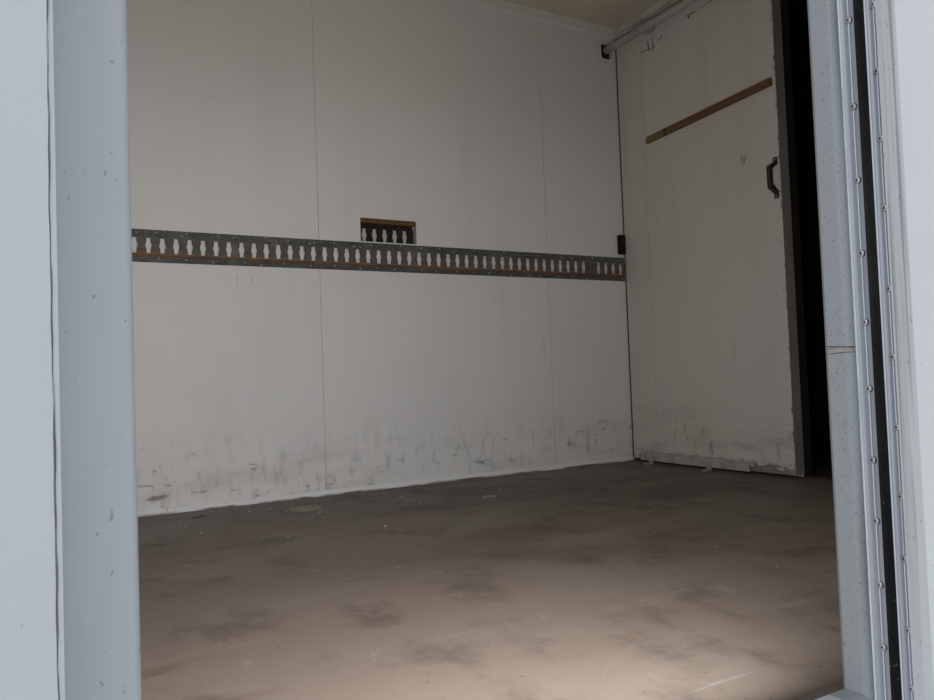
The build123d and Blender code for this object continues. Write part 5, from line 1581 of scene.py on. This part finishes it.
@dataclass
class RearEnd(Assembly):
    """The rear frame, its two doors, lamps and bumpers."""

    pin_y: float = 1.3045
    strap_x: float = -3.214
    strap_heights: tuple[float, ...] = (0.43, 1.12, 1.81, 2.5)
    strap_bolts: tuple[float, ...] = (0.14, 0.25, 0.37)
    saddle_x: float = -3.21
    saddle_y: float = 0.23
    saddle_half: float = 0.026
    saddle_heights: tuple[float, ...] = (0.553, 1.46, 2.367)
    rear_x: float = -3.2
    nose_x: float = 3.203
    tail_places: tuple[float, ...] = (-0.9685, 0.9685)
    tail_z: float = 0.185
    tail_half: tuple[float, float] = (0.105, 0.042)
    tail_cut: float = 0.021
    rear_markers: tuple[float, ...] = (-0.17, 0.0, 0.17)
    rear_marker_z: float = 2.707
    nose_markers: tuple[float, ...] = (-1.0555, -0.17, 0.0, 0.17, 1.0555)
    nose_marker_z: float = 2.667
    marker_half: tuple[float, float] = (0.046, 0.017)
    marker_cut: float = 0.0113
    bumper_x: float = -3.26
    bumper_y: float = 1.1985
    bumper_bolt_half: float = 0.03
    bumper_bolt_z: float = 0.185
    bolt_depth: float = 0.0082

    def build(self) -> None:
        """Dress the rear end."""
        self.dress(FRAME_STEEL, "rear_frame")
        self.dress(WHITE_SKIN, "rear_door_left", "rear_door_right")
        self.dress(RUBBER, "rear_seal_left", "rear_seal_right", "rubber_bumpers")
        self.dress(ZINC, "rear_hardware_left", "rear_hardware_right")
        self.dress(RED_LENS, "tail_lamps")
        self.dress(AMBER_LENS, "marker_lamps")
        self.door_bolts()
        self.lamp_rims()
        self.bumper_bolts()

    def door_bolts(self) -> None:
        """Round-headed bolts through the straps and saddles of both rear doors."""
        for side, body in ((1, Body.REAR_LEFT), (-1, Body.REAR_RIGHT)):
            surface = Surface()
            strap = [(self.strap_x, side * (self.pin_y - along), z)
                     for z in self.strap_heights for along in self.strap_bolts]
            saddles = [(self.saddle_x, side * self.saddle_y + edge * self.saddle_half, z)
                       for z in self.saddle_heights for edge in (-1, 1)]
            studs(surface, np.array(strap + saddles), (-1, 0, 0), CARRIAGE, sides=14)
            surface.piece(body.value + "_bolts", ZINC, body)

    def lamp_rims(self) -> None:
        """Dark rubber rims round the tail lamps and thin ones round the markers."""
        surface = Surface()
        face = (1, 2)
        for y in self.tail_places:
            middle = (self.rear_x, y, self.tail_z)
            corners = cut_corners(middle, self.tail_half, self.tail_cut, face)
            rim(surface, corners, middle, width=9.0, rise=6.0, normal=(-1, 0, 0))
        for y in self.rear_markers:
            middle = (self.rear_x, y, self.rear_marker_z)
            corners = cut_corners(middle, self.marker_half, self.marker_cut, face)
            rim(surface, corners, middle, width=3.0, rise=3.0, normal=(-1, 0, 0))
        for y in self.nose_markers:
            middle = (self.nose_x, y, self.nose_marker_z)
            corners = cut_corners(middle, self.marker_half, self.marker_cut, face)
            rim(surface, corners, middle, width=4.0, rise=3.0, normal=(1, 0, 0))
        surface.piece("lamp_rims", RUBBER, Body.BOX)

    def bumper_bolts(self) -> None:
        """Two countersunk bolts with washers in the face of each dock bumper."""
        surface = Surface()
        half = self.bumper_bolt_half
        places = [(self.bumper_x, side * self.bumper_y + dy, self.bumper_bolt_z)
                  for side in (-1, 1) for dy in (-half, half)]
        inset = np.array(places)
        inset[:, 0] += self.bolt_depth
        studs(surface, inset, (-1, 0, 0), WASHER, sides=16)
        studs(surface, inset, (-1, 0, 0), HEX_HEAD, sides=6)
        surface.piece("bumper_bolts", ZINC, Body.BOX, angle=25.0)


@dataclass(frozen=True)
class Lamp:
    """A soft rectangular lamp."""

    name: str
    place: tuple[float, float, float]
    aim: tuple[float, float, float]
    size: tuple[float, float]
    power: float
    tint: Colour = (1.0, 1.0, 1.0)

    def add(self) -> None:
        """Put the lamp in the scene, unseen by the camera."""
        data = bpy.data.lights.new(self.name, "AREA")
        data.shape = "RECTANGLE"
        data.size, data.size_y = self.size
        data.energy = self.power
        data.color = self.tint
        lamp = bpy.data.objects.new(self.name, data)
        bpy.context.scene.collection.objects.link(lamp)
        way = Vector(self.aim) - Vector(self.place)
        lamp.location = self.place
        lamp.rotation_euler = way.to_track_quat("-Z", "Y").to_euler()
        lamp.visible_camera = False
        lamp.visible_glossy = False


@dataclass
class Studio:
    """The camera, the lamps, the world and the floor."""

    camera_place: tuple[float, float, float] = (-0.983, -1.9356, 0.7702)
    yaw: float = 29.73
    pitch: float = 1.98
    roll: float = -2.1
    focal_share: float = 753.0 / 934.0
    sensor: float = 36.0
    clip_start: float = 0.02
    sky: Colour = (0.93, 0.96, 1.0)
    sky_strength: float = 0.55
    backdrop: Colour = (0.84, 0.85, 0.86)
    floor_half: float = 60.0
    floor_z: float = -0.001
    lamps: tuple[Lamp, ...] = (
        Lamp("key_lamp", (-22.0, -6.6, 11.0), (0.0, 0.0, 1.2), (12.0, 12.0), 3500.0),
        Lamp("fill_lamp", (17.0, 15.0, 11.0), (0.0, 0.0, 1.2), (12.0, 12.0), 2500.0),
        Lamp("doorway_lamp", (-0.42, -1.19, 0.78), (-0.42, 1.2, 0.78), (0.86, 0.8), 27.0),
    )

    def build(self) -> None:
        """Set up everything that isn't part of the object."""
        self.camera()
        self.world()
        self.floor()
        for lamp in self.lamps:
            lamp.add()
        bpy.context.scene.view_settings.view_transform = "Standard"

    def camera(self) -> None:
        """Place the camera at the photograph's viewpoint, with its slight roll."""
        yaw, pitch, roll = (math.radians(a) for a in (self.yaw, self.pitch, self.roll))
        ahead = Vector((math.sin(yaw) * math.cos(pitch), math.cos(yaw) * math.cos(pitch),
                        math.sin(pitch)))
        level = Vector((math.cos(yaw), -math.sin(yaw), 0.0))
        rise = level.cross(ahead)
        right = level * math.cos(roll) + rise * math.sin(roll)
        up = rise * math.cos(roll) - level * math.sin(roll)
        turn = Matrix((right, up, -ahead)).transposed()
        data = bpy.data.cameras.new("doorway_camera")
        data.sensor_width = self.sensor
        data.lens = self.sensor * self.focal_share
        data.clip_start = self.clip_start
        camera = bpy.data.objects.new("doorway_camera", data)
        camera.matrix_world = Matrix.Translation(self.camera_place) @ turn.to_4x4()
        bpy.context.scene.collection.objects.link(camera)
        bpy.context.scene.camera = camera

    def world(self) -> None:
        """An even pale sky that lights the object and shows as a pale background."""
        world = bpy.data.worlds.new("pale_sky")
        world.use_nodes = True
        bpy.context.scene.world = world
        tree = world.node_tree
        tree.nodes.clear()
        output = tree.nodes.new("ShaderNodeOutputWorld")
        light = tree.nodes.new("ShaderNodeBackground")
        light.inputs[0].default_value = (*self.sky, 1.0)
        light.inputs[1].default_value = self.sky_strength
        seen = tree.nodes.new("ShaderNodeBackground")
        seen.inputs[0].default_value = (*self.backdrop, 1.0)
        path = tree.nodes.new("ShaderNodeLightPath")
        either = tree.nodes.new("ShaderNodeMath")
        either.operation = "MAXIMUM"
        mix = tree.nodes.new("ShaderNodeMixShader")
        links = (
            (path.outputs["Is Camera Ray"], either.inputs[0]),
            (path.outputs["Is Glossy Ray"], either.inputs[1]),
            (either.outputs[0], mix.inputs[0]),
            (light.outputs[0], mix.inputs[1]),
            (seen.outputs[0], mix.inputs[2]),
            (mix.outputs[0], output.inputs[0]),
        )
        for source, target in links:
            tree.links.new(source, target)

    def floor(self) -> None:
        """A wide pale floor just below the feet."""
        mesh = bpy.data.meshes.new("studio_floor")
        half, z = self.floor_half, self.floor_z
        corners = [(-half, -half, z), (half, -half, z), (half, half, z), (-half, half, z)]
        mesh.from_pydata(corners, [], [(0, 1, 2, 3)])
        mesh.materials.append(STAGE_FLOOR.material())
        obj = bpy.data.objects.new("studio_floor", mesh)
        bpy.context.scene.collection.objects.link(obj)


def main() -> None:
    """Build the scene, logging each piece's face count and each assembly as it is done."""
    logging.basicConfig(level=logging.INFO, format="%(name)s %(message)s")
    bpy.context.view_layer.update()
    Studio().build()
    for assembly in (OuterShell(), Interior(), SlidingDoor(), SideDoorway(), SideDoor(),
                     RearEnd()):
        assembly.build()
        LOG.info("%s done", type(assembly).__name__)


if __name__ == "__main__":
    main()
